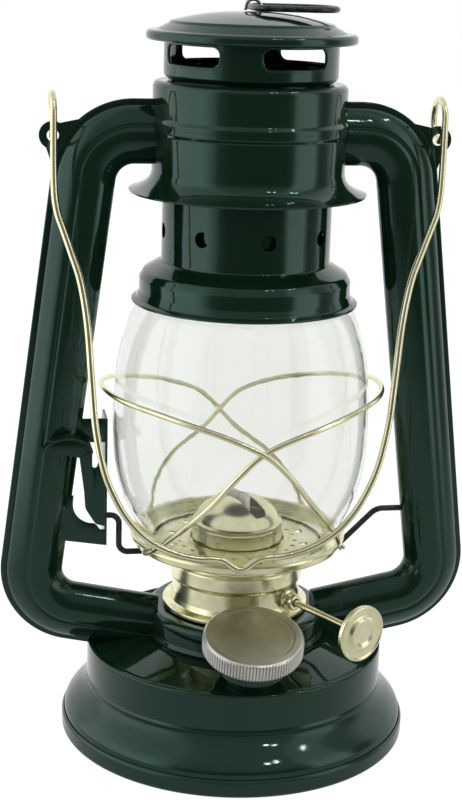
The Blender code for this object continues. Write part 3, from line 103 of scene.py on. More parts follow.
def corner_arc(
        here: Vector, before: Vector, after: Vector, radius: float,
        steps: int) -> tuple[list[Vector], float]:
    """Round one corner of an outline or a route.

    Args:
        here: The corner.
        before: The direction to the point before it.
        after: The direction to the point after it.
        radius: The arc's radius.
        steps: The chords of the arc.

    Returns:
        The arc's points, and how far from the corner it starts.
    """
    half = before.angle(after) / 2
    reach = radius / math.tan(half)
    centre = here + (before + after).normalized() * radius / math.sin(half)
    start = here + before * reach - centre
    end = here + after * reach - centre
    sweep = start.angle(end)
    arc: list[Vector] = []
    for step in range(steps + 1):
        share = step / steps
        blend = start * math.sin((1 - share) * sweep) + end * math.sin(share * sweep)
        arc.append(centre + blend / math.sin(sweep))
    return arc, reach


def rounded(points: Points, closed: bool = True, steps: int = FILLET_STEPS) -> list[Vector]:
    """Round the corners whose points carry a third value, their fillet radius.

    Args:
        points: Pairs, or triples with a fillet radius.
        closed: Whether the last point joins the first.
        steps: The faces of one fillet.

    Returns:
        The outline's points, with a holding point on each side of a fillet.
    """
    done: list[Vector] = []
    count = len(points)
    for index, point in enumerate(points):
        here = Vector(point[:2])
        radius = point[2] if len(point) > 2 else 0.0
        if not radius or (not closed and index in (0, count - 1)):
            done.append(here)
            continue
        before = Vector(points[index - 1][:2]) - here
        after = Vector(points[(index + 1) % count][:2]) - here
        room = min(before.length, after.length)
        before.normalize()
        after.normalize()
        arc, reach = corner_arc(here, before, after, radius, steps)
        hold = radius * HOLD
        if reach + hold * 2 < room:
            arc = [here + before * (reach + hold), *arc, here + after * (reach + hold)]
        done += arc
    return done


def flowing(points: Sequence[Vector], steps: int, cyclic: bool = False) -> list[Vector]:
    """Run a smooth curve through every point.

    Args:
        points: The points that the curve passes through.
        steps: The places read between each two.
        cyclic: Whether the curve comes back to its start.

    Returns:
        The curve's points.
    """
    spots = [Vector(point) for point in points]
    count = len(spots)
    spans = count if cyclic else count - 1
    done: list[Vector] = []
    for index in range(spans):
        if cyclic:
            first, start, end, last = (spots[(index + shift) % count] for shift in (-1, 0, 1, 2))
        else:
            first = spots[max(index - 1, 0)]
            start, end = spots[index], spots[index + 1]
            last = spots[min(index + 2, count - 1)]
        bend = 2 * first - 5 * start + 4 * end - last
        twist = 3 * start - 3 * end + last - first
        for step in range(steps):
            share = step / steps
            done.append(start + ((end - first) * share + bend * share ** 2 + twist * share ** 3) / 2)
    if not cyclic:
        done.append(spots[-1])
    return done


def evened(route: Sequence[Vector], count: int) -> list[Vector]:
    """Read a route again at even steps.

    Args:
        route: The points of a route.
        count: How many points to read.

    Returns:
        The same route with its points an equal way apart.
    """
    lengths = [0.0]
    for before, after in zip(route, route[1:]):
        lengths.append(lengths[-1] + (after - before).length)
    done: list[Vector] = []
    index = 0
    for step in range(count):
        target = lengths[-1] * step / (count - 1)
        while index < len(route) - 2 and lengths[index + 1] < target:
            index += 1
        span = lengths[index + 1] - lengths[index]
        done.append(route[index].lerp(route[index + 1], min((target - lengths[index]) / span, 1)))
    return done


def bent(corners: Sequence[Sequence[float]], bends: Sequence[float], steps: int) -> list[Vector]:
    """Replace the inner corners of a route with arcs.

    Args:
        corners: The route's corners.
        bends: The radius at each inner corner.
        steps: The chords of one arc.

    Returns:
        The bent route.
    """
    route = [Vector(corners[0])]
    for index in range(1, len(corners) - 1):
        here = Vector(corners[index])
        before = (Vector(corners[index - 1]) - here).normalized()
        after = (Vector(corners[index + 1]) - here).normalized()
        route += corner_arc(here, before, after, bends[index - 1], steps)[0]
    route.append(Vector(corners[-1]))
    return route


def refined(route: Sequence[Vector], step_length: float, closed: bool = False) -> list[Vector]:
    """Put more points on the long stretches of a route.

    Args:
        route: The points of the route.
        step_length: About how far apart its points may stand.
        closed: Whether the last point joins the first.

    Returns:
        The same route with more points.
    """
    done: list[Vector] = []
    for before, after in zip(route, [*route[1:], route[0]] if closed else route[1:]):
        count = max(round((after - before).length / step_length), 1)
        done += [before.lerp(after, step / count) for step in range(count)]
    return done if closed else [*done, route[-1]]


def walled(line: Sequence[Vector], wall: float = SHEET) -> list[Vector]:
    """Close a line of sheet metal with a second line behind it.

    Args:
        line: The outer line, as (radius, height).
        wall: The sheet's thickness, on the left of the line where it is negative.

    Returns:
        A closed outline of the sheet's section.
    """
    back: list[Vector] = []
    for index, point in enumerate(line):
        before = (point - line[index - 1]).normalized() if index else None
        after = (line[index + 1] - point).normalized() if index < len(line) - 1 else None
        run_in = before or after
        run_out = after or before
        normal_in = Vector((run_in.y, -run_in.x))
        normal_out = Vector((run_out.y, -run_out.x))
        middle = (normal_in + normal_out).normalized()
        mitre = max(middle.dot(normal_in), MITRE_LIMIT)
        spot = point + middle * wall / mitre
        back.append(Vector((max(spot.x, 0.0), spot.y)))
    return [*line, *reversed(back)]


def shared(shares: Points, start: Sequence[float], end: Sequence[float]) -> list[Vector]:
    """Turn pairs of shares into points between two (radius, height) points."""
    return [
        Vector((start[0] + (end[0] - start[0]) * across, start[1] + (end[1] - start[1]) * up))
        for across, up in shares]


def offset(x: float, y: float, rows: Points) -> list[tuple[float, ...]]:
    """Place an outline's rows, each a shift in x and y and perhaps a fillet, from one corner."""
    return [(x + row[0], y + row[1], *row[2:]) for row in rows]


def oblong(low: Sequence[float], high: Sequence[float], fillet: float) -> list[tuple[float, ...]]:
    """Give an oblong's corners, all with the same fillet."""
    return [(x, y, fillet) for x, y in (low, (high[0], low[1]), high, (low[0], high[1]))]


def grooves(
        count: int, depth: float, radius: float, low: float,
        high: float) -> Callable[[Vector], Vector]:
    """Give the rule that presses grooves into a round edge.

    Args:
        count: How many grooves there are.
        depth: How deep they are.
        radius: The radius past which a point moves.
        low: The height above which a point moves.
        high: The height below which a point moves.

    Returns:
        The rule, which gives a point's shift.
    """
    def press(place: Vector) -> Vector:
        """Give the shift of one point.

        Args:
            place: The point.

        Returns:
            Its shift.
        """
        around = math.hypot(place.x, place.y)
        if around < radius or not low < place.z < high:
            return Vector((0, 0, 0))
        inward = depth * (0.5 - 0.5 * math.cos(math.atan2(place.y, place.x) * count)) / around
        return Vector((-place.x * inward, -place.y * inward, 0.0))

    return press


def arc_of(radius: float, start: float, sweep: float, steps: int) -> list[tuple[float, float]]:
    """Give the points of an arc about the origin, both ends among them."""
    turns = [start + sweep * step / steps for step in range(steps + 1)]
    return [(radius * math.cos(turn), radius * math.sin(turn)) for turn in turns]


def route_frames(
        route: Sequence[Vector], across: Optional[Vector], cyclic: bool,
        scales: Optional[Sequence[float]]) -> list[Matrix]:
    """Carry a section's axes along a route without twisting them.

    Args:
        route: The points of the route.
        across: The section's first axis at the start, or None for any.
        cyclic: Whether the route comes back to its start.
        scales: The section's size at each point, or None for one size.

    Returns:
        One matrix for each point, with the section's axes in its first two columns.
    """
    count = len(route)
    side = across
    frames: list[Matrix] = []
    for index, place in enumerate(route):
        before = route[index - 1] if index or cyclic else place
        after = route[(index + 1) % count] if index < count - 1 or cyclic else place
        ahead = (after - before).normalized()
        side = side or ahead.orthogonal()
        side = (side - ahead * side.dot(ahead)).normalized()
        lift = ahead.cross(side)
        frame = Matrix((side, lift, ahead)).transposed().to_4x4()
        frame.translation = place
        size = scales[index] if scales else 1.0
        frames.append(frame @ Matrix.Diagonal((size, size, 1.0, 1.0)))
    return frames


def facing(place: Sequence[float], axis: Sequence[float]) -> Matrix:
    """Stand a mesh's Z on an axis at a place."""
    return Matrix.Translation(place) @ Vector(axis).to_track_quat("Z", "Y").to_matrix().to_4x4()


def moved(x: float = 0.0, y: float = 0.0, z: float = 0.0) -> Matrix:
    """Move along the axes."""
    return Matrix.Translation((x, y, z))


def about_z(angle: float) -> Matrix:
    """Turn about the lantern's own axis."""
    return Matrix.Rotation(angle, 4, "Z")


UPRIGHT = Matrix.Rotation(math.pi / 2, 4, "X")
SIDEWAYS = Matrix(((0, 0, 1, 0), (1, 0, 0, 0), (0, 1, 0, 0), (0, 0, 0, 1)))


def stood(name: str, data: bpy.types.ID) -> bpy.types.Object:
    """Put a new object into the scene.

    Args:
        name: The object's name.
        data: Its mesh, lamp or camera.

    Returns:
        The object.
    """
    item = bpy.data.objects.new(name, data)
    bpy.context.scene.collection.objects.link(item)
    return item


class Form:
    """A mesh in the making, shaped by mesh operators."""

    def __init__(self) -> None:
        """Start with nothing."""
        self.mesh = bmesh.new()

    def ring(self, spots: Points) -> list[bmesh.types.BMEdge]:
        """Draw a closed ring of edges from spot to spot."""
        verts = [self.mesh.verts.new(spot) for spot in spots]
        return [self.mesh.edges.new(pair) for pair in zip(verts, [*verts[1:], verts[0]])]

    def turned(self, outline: Sequence[Vector], steps: int = FINE_TURN) -> "Form":
        """Turn an outline of (radius, height) round Z.

        Args:
            outline: A closed section, or a line with both ends on the axis.
            steps: The faces of a full turn.

        Returns:
            This form.
        """
        verts = [self.mesh.verts.new((point.x, 0.0, point.y)) for point in outline]
        pairs = list(zip(verts, verts[1:]))
        if outline[0].x > MERGE or outline[-1].x > MERGE:
            pairs.append((verts[-1], verts[0]))
        edges = [self.mesh.edges.new(pair) for pair in pairs]
        bmesh.ops.spin(
            self.mesh, geom=[*verts, *edges], cent=(0, 0, 0), axis=(0, 0, 1), dvec=(0, 0, 0),
            angle=math.tau, steps=steps, use_merge=True)
        return self.merged()

    def swept(
            self, route: Sequence[Vector], section: Points, across: Optional[Vector] = None,
            cyclic: bool = False, scales: Optional[Sequence[float]] = None) -> "Form":
        """Run a closed section along a route.

        Args:
            route: The points of the route.
            section: The section's corners, in its own plane.
            across: The section's first axis at the start.
            cyclic: Whether the route comes back to its start.
            scales: The section's size at each point.

        Returns:
            This form.
        """
        frames = route_frames(route, across, cyclic, scales)
        first = self.ring([frames[0] @ Vector((spot[0], spot[1], 0.0)) for spot in section])
        if not cyclic:
            bmesh.ops.contextual_create(self.mesh, geom=first)
        last = first
        for before, after in zip(frames, frames[1:]):
            made = bmesh.ops.extrude_edge_only(self.mesh, edges=last)["geom"]
            fresh = [item for item in made if isinstance(item, bmesh.types.BMVert)]
            last = [item for item in made if isinstance(item, bmesh.types.BMEdge) and item.is_boundary]
            bmesh.ops.transform(self.mesh, matrix=after @ before.inverted(), verts=fresh)
        if cyclic:
            bmesh.ops.bridge_loops(self.mesh, edges=[*last, *first])
        else:
            bmesh.ops.contextual_create(self.mesh, geom=last)
        return self

    def plate(self, outline: Points, thickness: float, edge: float = 0.0) -> "Form":
        """Fill an outline in the XY plane and give it a thickness, half each way.

        Args:
            outline: The plate's corners in order.
            thickness: The plate's thickness.
            edge: The rounding of its long edges.

        Returns:
            This form.
        """
        rim = self.ring([(spot[0], spot[1], -thickness / 2) for spot in outline])
        filled = bmesh.ops.contextual_create(self.mesh, geom=rim)["faces"]
        raised = bmesh.ops.extrude_face_region(self.mesh, geom=filled)["geom"]
        fresh = [item for item in raised if isinstance(item, bmesh.types.BMVert)]
        bmesh.ops.translate(self.mesh, vec=(0, 0, thickness), verts=fresh)
        self.mesh.normal_update()
        if edge:
            rims = [
                item for item in self.mesh.edges
                if abs(item.verts[0].co.z - item.verts[1].co.z) < MERGE]
            bmesh.ops.bevel(
                self.mesh, geom=rims, offset=edge, segments=3, profile=0.5, affect="EDGES",
                material=-1, clamp_overlap=True)
        return self

    def drum(self, radius: float, length: float, steps: int = SMALL_TURN) -> "Form":
        """Add a plain round bar along Z, centred on the origin.

        Args:
            radius: The bar's radius.
            length: The bar's length.
            steps: The faces round the bar.

        Returns:
            This form.
        """
        bmesh.ops.create_cone(
            self.mesh, cap_ends=True, cap_tris=False, segments=steps, radius1=radius,
            radius2=radius, depth=length)
        return self

    def placed(self, matrix: Matrix) -> "Form":
        """Move the whole form by a matrix."""
        bmesh.ops.transform(self.mesh, matrix=matrix, verts=self.mesh.verts)
        return self

    def poured(self, name: str = "spare") -> bpy.types.Mesh:
        """Pour the form into a mesh, which uses the form up.

        Args:
            name: The mesh's name.

        Returns:
            The mesh.
        """
        mesh = bpy.data.meshes.new(name)
        self.mesh.to_mesh(mesh)
        self.mesh.free()
        return mesh

    def joined(self, other: "Form") -> "Form":
        """Take another form in as it is.

        Args:
            other: The other form, which is used up.

        Returns:
            This form.
        """
        spare = other.poured()
        self.mesh.from_mesh(spare)
        bpy.data.meshes.remove(spare)
        return self

    def merged(self) -> "Form":
        """Merge doubles and turn every face outwards.

        Returns:
            This form.
        """
        bmesh.ops.remove_doubles(self.mesh, verts=self.mesh.verts, dist=MERGE)
        bmesh.ops.recalc_face_normals(self.mesh, faces=self.mesh.faces)
        return self

    def cut(self, tool: "Form") -> "Form":
        """Cut a tool out of this form.

        Args:
            tool: The tool's form, which is used up.

        Returns:
            This form.
        """
        items = [stood("spare", form.merged().poured()) for form in (self, tool)]
        step = items[0].modifiers.new("cut", "BOOLEAN")
        step.operation = "DIFFERENCE"
        step.solver = "EXACT"
        step.object = items[1]
        bpy.context.view_layer.update()
        seen = items[0].evaluated_get(bpy.context.evaluated_depsgraph_get())
        result = bpy.data.meshes.new_from_object(seen)
        self.mesh = bmesh.new()
        self.mesh.from_mesh(result)
        for mesh in (items[0].data, items[1].data, result):
            bpy.data.meshes.remove(mesh)
        return self

    def waved(self, shift: Callable[[Vector], Vector]) -> "Form":
        """Move every point by what a rule gives for its place.

        Args:
            shift: The rule, which gives a point's shift.

        Returns:
            This form.
        """
        for vert in self.mesh.verts:
            vert.co += shift(vert.co)
        return self

    def settle(
            self, name: str, body: str, finish: "Finish", *nodes: str,
            crease: float = CREASE) -> bpy.types.Object:
        """Make the form a piece of the lantern.

        Args:
            name: The piece's name.
            body: The body that it moves with.
            finish: The finish that it wears.
            nodes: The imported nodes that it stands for.
            crease: The angle past which an edge is drawn sharp.

        Returns:
            The piece.
        """
        mesh = self.merged().poured(name)
        mesh.shade_smooth()
        mesh.set_sharp_from_angle(angle=crease)
        mesh.materials.append(finish.material())
        piece = stood(name, mesh)
        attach(piece, body)
        if nodes:
            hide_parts(*nodes)
        LOG.info("%s rides on %s: %d faces", name, body, len(mesh.polygons))
        return piece


def wire_form(
        route: Sequence[Vector], radius: float, cyclic: bool = False,
        sides: int = WIRE_SIDES) -> Form:
    """Run a round wire along a route, its ends a little domed.

    Args:
        route: The middle of the wire.
        radius: The wire's radius.
        cyclic: Whether the wire is a closed ring.
        sides: The faces round the wire.

    Returns:
        The wire's form.
    """
    section = arc_of(radius, 0.0, math.tau, sides)[:-1]
    if cyclic:
        return Form().swept(route, section, cyclic=True)
    start_run = (route[1] - route[0]).normalized()
    end_run = (route[-2] - route[-1]).normalized()
    start = [route[0] + start_run * radius * reach for reach, _ in WIRE_DOME]
    end = [route[-1] + end_run * radius * reach for reach, _ in reversed(WIRE_DOME)]
    dome = [scale for _, scale in WIRE_DOME]
    scales = [*dome, *[1.0] * (len(route) - 2), *reversed(dome)]
    return Form().swept([*start, *route[1:-1], *end], section, scales=scales)


# Shader sheets


def math_node(operation: str, reflected: bool = False) -> Callable[["Signal", object], "Signal"]:
    """Make a method of a signal that adds one Math node.

    Args:
        operation: The node's operation.
        reflected: Whether the other value comes first.

    Returns:
        The method.
    """
    def method(self: "Signal", other: object) -> "Signal":
        """Join this signal and another value."""
        first, second = (other, self) if reflected else (self, other)
        return self.sheet.node("ShaderNodeMath", {"operation": operation}, {0: first, 1: second})

    return method


class Signal:
    """A shader socket with the arithmetic of numbers."""

    __add__ = math_node("ADD")
    __radd__ = math_node("ADD", reflected=True)
    __sub__ = math_node("SUBTRACT")
    __rsub__ = math_node("SUBTRACT", reflected=True)
    __mul__ = math_node("MULTIPLY")
    __rmul__ = math_node("MULTIPLY", reflected=True)
    __truediv__ = math_node("DIVIDE")
    __pow__ = math_node("POWER")
    __gt__ = math_node("GREATER_THAN")
    larger = math_node("MAXIMUM")
    turn_to = math_node("ARCTAN2")

    def __init__(self, sheet: "NodeSheet", socket: bpy.types.NodeSocket) -> None:
        """Wrap an output socket of a sheet."""
        self.sheet = sheet
        self.socket = socket

    def sine(self) -> "Signal":
        """Give the sine."""
        return self.sheet.node("ShaderNodeMath", {"operation": "SINE"}, {0: self})


class NodeSheet:
    """The nodes of one material or of the world."""

    def __init__(self, tree: bpy.types.NodeTree) -> None:
        """Take over a node tree and clear it."""
        self.tree = tree
        tree.nodes.clear()

    @classmethod
    def for_material(cls, name: str) -> tuple["NodeSheet", bpy.types.Material]:
        """Start a new material.

        Args:
            name: The material's name.

        Returns:
            Its sheet and the material.
        """
        made = bpy.data.materials.new(name)
        made.use_nodes = True
        return cls(made.node_tree), made

    def node(
            self, kind: str, settings: Optional[dict[str, object]] = None,
            sockets: Optional[dict[object, object]] = None, out: Union[int, str] = 0) -> Signal:
        """Add a node.

        Args:
            kind: The node's type.
            settings: Its settings, set first, a ramp's stops among them.
            sockets: The value or the signal of each input.
            out: The output that is handed on.

        Returns:
            The signal of one output.
        """
        made = self.tree.nodes.new(kind)
        for key, value in (settings or {}).items():
            if key == "stops":
                self._set_stops(made.color_ramp, value)
            else:
                setattr(made, key, value)
        for key, value in (sockets or {}).items():
            socket = made.inputs[key]
            if isinstance(value, Signal):
                self.tree.links.new(value.socket, socket)
            else:
                socket.default_value = value
        if not made.outputs:
            return Signal(self, None)
        return Signal(self, made.outputs[out])

    @staticmethod
    def _set_stops(ramp: bpy.types.ColorRamp, stops: Points) -> None:
        """Set a ramp's stops.

        Args:
            ramp: The ramp.
            stops: Pairs of a place and a shade of grey.
        """
        while len(ramp.elements) > 1:
            ramp.elements.remove(ramp.elements[-1])
        for index, (place, value) in enumerate(stops):
            stop = ramp.elements[0] if index == 0 else ramp.elements.new(place)
            stop.position = place
            stop.color = (value, value, value, 1.0)

    def other(self, signal: Signal, out: Union[int, str]) -> Signal:
        """Take another output of the node behind a signal."""
        return Signal(self, signal.socket.node.outputs[out])

    def place(self, matrix: Optional[Matrix] = None) -> Signal:
        """Read Object coordinates.

        Args:
            matrix: The stand of a piece whose own axes they are turned into, or None.

        Returns:
            The coordinates.
        """
        spot = self.node("ShaderNodeTexCoord", out="Object")
        if matrix is None:
            return spot
        inverse = matrix.inverted()
        return self.node(
            "ShaderNodeMapping", {"vector_type": "POINT"},
            {"Vector": spot, "Location": inverse.translation, "Rotation": inverse.to_euler()})

    def split(self, vector: Signal) -> tuple[Signal, Signal, Signal]:
        """Split a vector into its three values."""
        parts = self.node("ShaderNodeSeparateXYZ", None, {0: vector})
        return parts, self.other(parts, 1), self.other(parts, 2)

    def noise(self, vector: Signal, scale: float, detail: float = 2.0, rough: float = 0.5) -> Signal:
        """Add soft noise of one scale."""
        return self.node(
            "ShaderNodeTexNoise", None,
            {"Vector": vector, "Scale": scale, "Detail": detail, "Roughness": rough})

    def mix(self, factor: Signal, first: object, second: object) -> Signal:
        """Mix two colours, each three numbers or a signal."""
        tint = [(*one, 1.0) if isinstance(one, tuple) else one for one in (first, second)]
        return self.node(
            "ShaderNodeMix", {"data_type": "RGBA"},
            {0: factor, 6: tint[0], 7: tint[1]}, out=2)

    def shaders(self, factor: Signal, first: Signal, second: Signal) -> Signal:
        """Mix two shaders."""
        return self.node("ShaderNodeMixShader", None, {0: factor, 1: first, 2: second})

    def ramp(self, factor: Signal, stops: Points) -> Signal:
        """Read a ramp of greys, whose stops are pairs of a place and a shade."""
        return self.node("ShaderNodeValToRGB", {"stops": stops}, {"Fac": factor})

    def bump(self, height: Signal, depth: float, normal: Optional[Signal] = None) -> Signal:
        """Raise the surface by a height signal.

        Args:
            height: How high each place stands, from zero to one.
            depth: How far one stands above zero, in metres.
            normal: The normal of a bump below this one.

        Returns:
            The bent normal.
        """
        sockets: dict[object, object] = {"Height": height, "Distance": depth, "Strength": 1.0}
        if normal is not None:
            sockets["Normal"] = normal
        return self.node("ShaderNodeBump", None, sockets, out="Normal")

    def principled(self, sockets: dict[object, object]) -> Signal:
        """Add the surface shader."""
        return self.node("ShaderNodeBsdfPrincipled", None, sockets)

    def surface(self, shader: Signal, kind: str = "ShaderNodeOutputMaterial") -> None:
        """Join a shader to the output."""
        self.node(kind, None, {"Surface": shader})


@dataclass(frozen=True)
class Finish:
    """A finish that pieces wear, and the record's slot for it."""

    name: str
    slot: Metal = Metal.ENAMEL

    def material(self) -> bpy.types.Material:
        """Give the finish's material, made once.

        Returns:
            The material.
        """
        found = bpy.data.materials.get(self.name)
        if found:
            return found
        sheet, made = NodeSheet.for_material(self.name)
        self.lay(sheet)
        return made

    def lay(self, sheet: NodeSheet) -> None:
        """Lay the finish's nodes.

        Args:
            sheet: The material's sheet.
        """
        raise NotImplementedError

    def dress(self, node: bpy.types.Object) -> None:
        """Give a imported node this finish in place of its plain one."""
        for slot in node.material_slots:
            slot.material = self.material()


@dataclass(frozen=True)
class StoveEnamel(Finish):
    """Deep green enamel, baked on drawn sheet, with a soft orange peel."""

    deep: Colour = (0.0028, 0.0136, 0.006)
    pale: Colour = (0.0052, 0.019, 0.0092)
    tint: Colour = (0.62, 1.0, 0.94)
    index: float = 1.53
    rough: float = 0.045
    rough_spread: float = 0.03
    cloud_scale: float = 55.0
    speck_scale: float = 3120.0
    speck_share: float = 0.2
    wave_scale: float = 60.0
    wave_depth: float = 0.00022
    peel_scale: float = 520.0
    peel_depth: float = 0.000012

    def lay(self, sheet: NodeSheet) -> None:
        """Lay the enamel's nodes.

        Args:
            sheet: The material's sheet.
        """
        place = sheet.place()
        cloud = sheet.noise(place, self.cloud_scale, 3.0)
        speck = sheet.noise(place, self.speck_scale, 1.0)
        tone = cloud * (1.0 - self.speck_share) + speck * self.speck_share
        wave = sheet.bump(sheet.noise(place, self.wave_scale, 0.0), self.wave_depth)
        peel = sheet.bump(sheet.noise(place, self.peel_scale, 1.0), self.peel_depth, wave)
        sheet.surface(sheet.principled({
            "Base Color": sheet.mix(tone, self.deep, self.pale),
            "Roughness": self.rough + cloud * self.rough_spread, "IOR": self.index,
            "Specular Tint": (*self.tint, 1.0), "Normal": peel}))


@dataclass(frozen=True)
class PaleBrass(Finish):
    """Bright pale brass, lacquered, with faint clouding."""

    slot: Metal = Metal.BRASS
    bright: Colour = (0.91, 0.885, 0.61)
    dull: Colour = (0.77, 0.735, 0.46)
    rough: float = 0.19
    rough_cloud: float = 0.07
    rough_fine: float = 0.05
    cloud_scale: float = 160.0
    cloud_stops: Points = ((0.35, 0.0), (0.72, 1.0))
    fine_scale: float = 2240.0
    fine_depth: float = 0.000012

    def lay(self, sheet: NodeSheet) -> None:
        """Lay the brass's nodes.

        Args:
            sheet: The material's sheet.
        """
        place = sheet.place()
        cloud = sheet.noise(place, self.cloud_scale, 4.0, 0.6)
        fine = sheet.noise(place, self.fine_scale, 2.0)
        sheet.surface(sheet.principled({
            "Base Color": sheet.mix(sheet.ramp(cloud, self.cloud_stops), self.bright, self.dull),
            "Metallic": 1.0,
            "Roughness": self.rough + cloud * self.rough_cloud + fine * self.rough_fine,
            "Normal": sheet.bump(fine, self.fine_depth)}))


@dataclass(frozen=True)
class BrushedNickel(Finish):
    """Plated steel, brushed in rings about one axis, with painted shade in the grooves between the ribs of a
    knurl.
    """

    slot: Metal = Metal.NICKEL
    stand: Matrix = Matrix.Identity(4)
    bright: Colour = (0.86, 0.855, 0.8)
    dull: Colour = (0.56, 0.555, 0.505)
    rough: float = 0.27
    rough_spread: float = 0.16
    rings: float = 5200.0
    around: float = 40.0
    along: float = 900.0
    depth: float = 0.00001
    cloud_scale: float = 130.0
    cloud_share: float = 0.7
    cloud_stops: Points = ((0.3, 0.0), (0.72, 1.0))
    ribs: int = 0
    rim: float = 0.0
    rim_stops: Points = ((0.955, 0.0), (0.975, 0.85))
    # Painted shade colour for the grooves of a knurl.
    groove_shade: Colour = (0.1, 0.098, 0.085)

    def lay(self, sheet: NodeSheet) -> None:
        """Lay the plating's nodes.

        Args:
            sheet: The material's sheet.
        """
        place = sheet.place(self.stand)
        x, y, z = sheet.split(place)
        radius = (x * x + y * y) ** 0.5
        brushed = sheet.node("ShaderNodeCombineXYZ", None, {
            0: radius * self.rings, 1: x * self.around, 2: y * self.around + z * self.along})
        streak = sheet.noise(brushed, 1.0, 2.0)
        cloud = sheet.noise(place, self.cloud_scale, 4.0, 0.62)
        tone = cloud * self.cloud_share + streak * (1.0 - self.cloud_share)
        colour = sheet.mix(sheet.ramp(tone, self.cloud_stops), self.bright, self.dull)
        if self.ribs:
            # Painted shade: on the outer band, the grooves between the knurl's ribs are mixed towards a
            # near-black colour.
            crest = (y.turn_to(x) * self.ribs + math.pi / 2).sine()
            groove = (0.5 - crest * 0.5) ** 2.0
            edge = sheet.ramp(radius / self.rim, self.rim_stops)
            colour = sheet.mix(groove * edge, colour, self.groove_shade)
        sheet.surface(sheet.principled({
            "Base Color": colour, "Metallic": 1.0,
            "Roughness": self.rough + streak * self.rough_spread,
            "Normal": sheet.bump(streak, self.depth)}))


@dataclass(frozen=True)
class LanternGlass(Finish):
    """Clear pressed glass with a slight ripple."""

    slot: Metal = Metal.GLASS
    tint: Colour = (0.885, 0.895, 0.872)
    shadow_tint: Colour = (0.93, 0.95, 0.94)
    index: float = 1.47
    ripple_scale: float = 240.0
    ripple_depth: float = 0.000028

    def lay(self, sheet: NodeSheet) -> None:
        """Lay the glass's nodes: light passes straight through for shadows.

        Args:
            sheet: The material's sheet.
        """
        ripple = sheet.noise(sheet.place(), self.ripple_scale, 1.0)
        glass = sheet.principled({
            "Base Color": (*self.tint, 1.0), "Roughness": 0.0, "IOR": self.index,
            "Transmission Weight": 1.0, "Normal": sheet.bump(ripple, self.ripple_depth)})
        clear = sheet.node("ShaderNodeBsdfTransparent", None, {"Color": (*self.shadow_tint, 1.0)})
        shadow = sheet.node("ShaderNodeLightPath", out="Is Shadow Ray")
        sheet.surface(sheet.shaders(shadow, glass, clear))


@dataclass(frozen=True)
class DarkWire(Finish):
    """Steel wire under a dark green-black coat."""

    slot: Metal = Metal.BLACK
    deep: Colour = (0.006, 0.014, 0.011)
    worn: Colour = (0.03, 0.04, 0.034)
    index: float = 1.5
    rough: float = 0.2
    rough_spread: float = 0.15
    wear_scale: float = 420.0
    wear_stops: Points = ((0.5, 0.0), (0.8, 1.0))
    grain_scale: float = 2600.0
    grain_depth: float = 0.00002

    def lay(self, sheet: NodeSheet) -> None:
        """Lay the coat's nodes.

        Args:
            sheet: The material's sheet.
        """
        place = sheet.place()
        wear = sheet.noise(place, self.wear_scale, 3.0)
        grain = sheet.noise(place, self.grain_scale, 1.0)
        sheet.surface(sheet.principled({
            "Base Color": sheet.mix(sheet.ramp(wear, self.wear_stops), self.deep, self.worn),
            "Roughness": self.rough + wear * self.rough_spread, "IOR": self.index,
            "Normal": sheet.bump(grain, self.grain_depth)}))


@dataclass(frozen=True)
class CloudedFinish(Finish):
    """A finish of one soft cloud between two tones."""

    slot: Metal = Metal.SPRING
    first: Colour = (0.52, 0.52, 0.5)
    second: Colour = (0.3, 0.29, 0.27)
    metallic: float = 1.0
    rough: float = 0.26
    rough_spread: float = 0.14
    scale: float = 900.0
    depth: float = 0.00001

    def lay(self, sheet: NodeSheet) -> None:
        """Lay the finish's nodes.

        Args:
            sheet: The material's sheet.
        """
        cloud = sheet.noise(sheet.place(), self.scale, 3.0)
        sheet.surface(sheet.principled({
            "Base Color": sheet.mix(cloud, self.first, self.second), "Metallic": self.metallic,
            "Roughness": self.rough + cloud * self.rough_spread,
            "Normal": sheet.bump(cloud, self.depth)}))


@dataclass(frozen=True)
class WickWeave(Finish):
    """Flat woven cotton, cream, with a coloured thread and painted shade in the hollows of the weave."""

    slot: Metal = Metal.COTTON
    stand: Matrix = Matrix.Identity(4)
    cream: Colour = (1.0, 0.96, 0.88)
    # Painted shade colour for the low places of the weave.
    shade: Colour = (0.95, 0.87, 0.79)
    thread: Colour = (0.9, 0.66, 0.6)
    thread_every: int = 5
    thread_edge: float = 0.86
    rough: float = 0.95
    pitch: float = 0.0011
    weft_wander: float = 0.6
    fuzz_scale: float = 2600.0
    fuzz_share: float = 0.4
    depth: float = 0.00018

    def lay(self, sheet: NodeSheet) -> None:
        """Lay the weave's nodes.

        Args:
            sheet: The material's sheet.
        """
        place = sheet.place(self.stand)
        x, y, z = sheet.split(place)
        turn = math.tau / self.pitch
        warp = (x * turn).sine()
        weft = (z * turn + (y * (turn / 2)).sine() * self.weft_wander).sine()
        weave = (warp * weft) * 0.5 + 0.5
        fuzz = sheet.noise(place, self.fuzz_scale, 3.0)
        # Painted shade: where the weave's bump sinks, the colour goes towards the shade colour; the fuzz
        # adds random tone.
        tone = sheet.mix(weave * (1.0 - self.fuzz_share) + fuzz * self.fuzz_share, self.shade, self.cream)
        line = (x * (turn / self.thread_every)).sine() > self.thread_edge
        sheet.surface(sheet.principled({
            "Base Color": sheet.mix(line, tone, self.thread), "Roughness": self.rough,
            "Normal": sheet.bump(weave + fuzz, self.depth)}))


ENAMEL = StoveEnamel("green_stove_enamel")
BRASS = PaleBrass("pale_brass")
SPUN_BRASS = PaleBrass("spun_brass", rough=0.17)
NICKEL = BrushedNickel("plated_steel")
GLASS = LanternGlass("lantern_glass")
DARK_WIRE = DarkWire("dark_wire")
SPRING = CloudedFinish("spring_wire")
RUBBER = CloudedFinish(
    "seal_rubber_black", Metal.RUBBER, first=(0.012, 0.012, 0.013), second=(0.035, 0.035, 0.036),
    metallic=0.0, rough=0.6, rough_spread=0.2, scale=1400.0, depth=0.00003)


# The studio


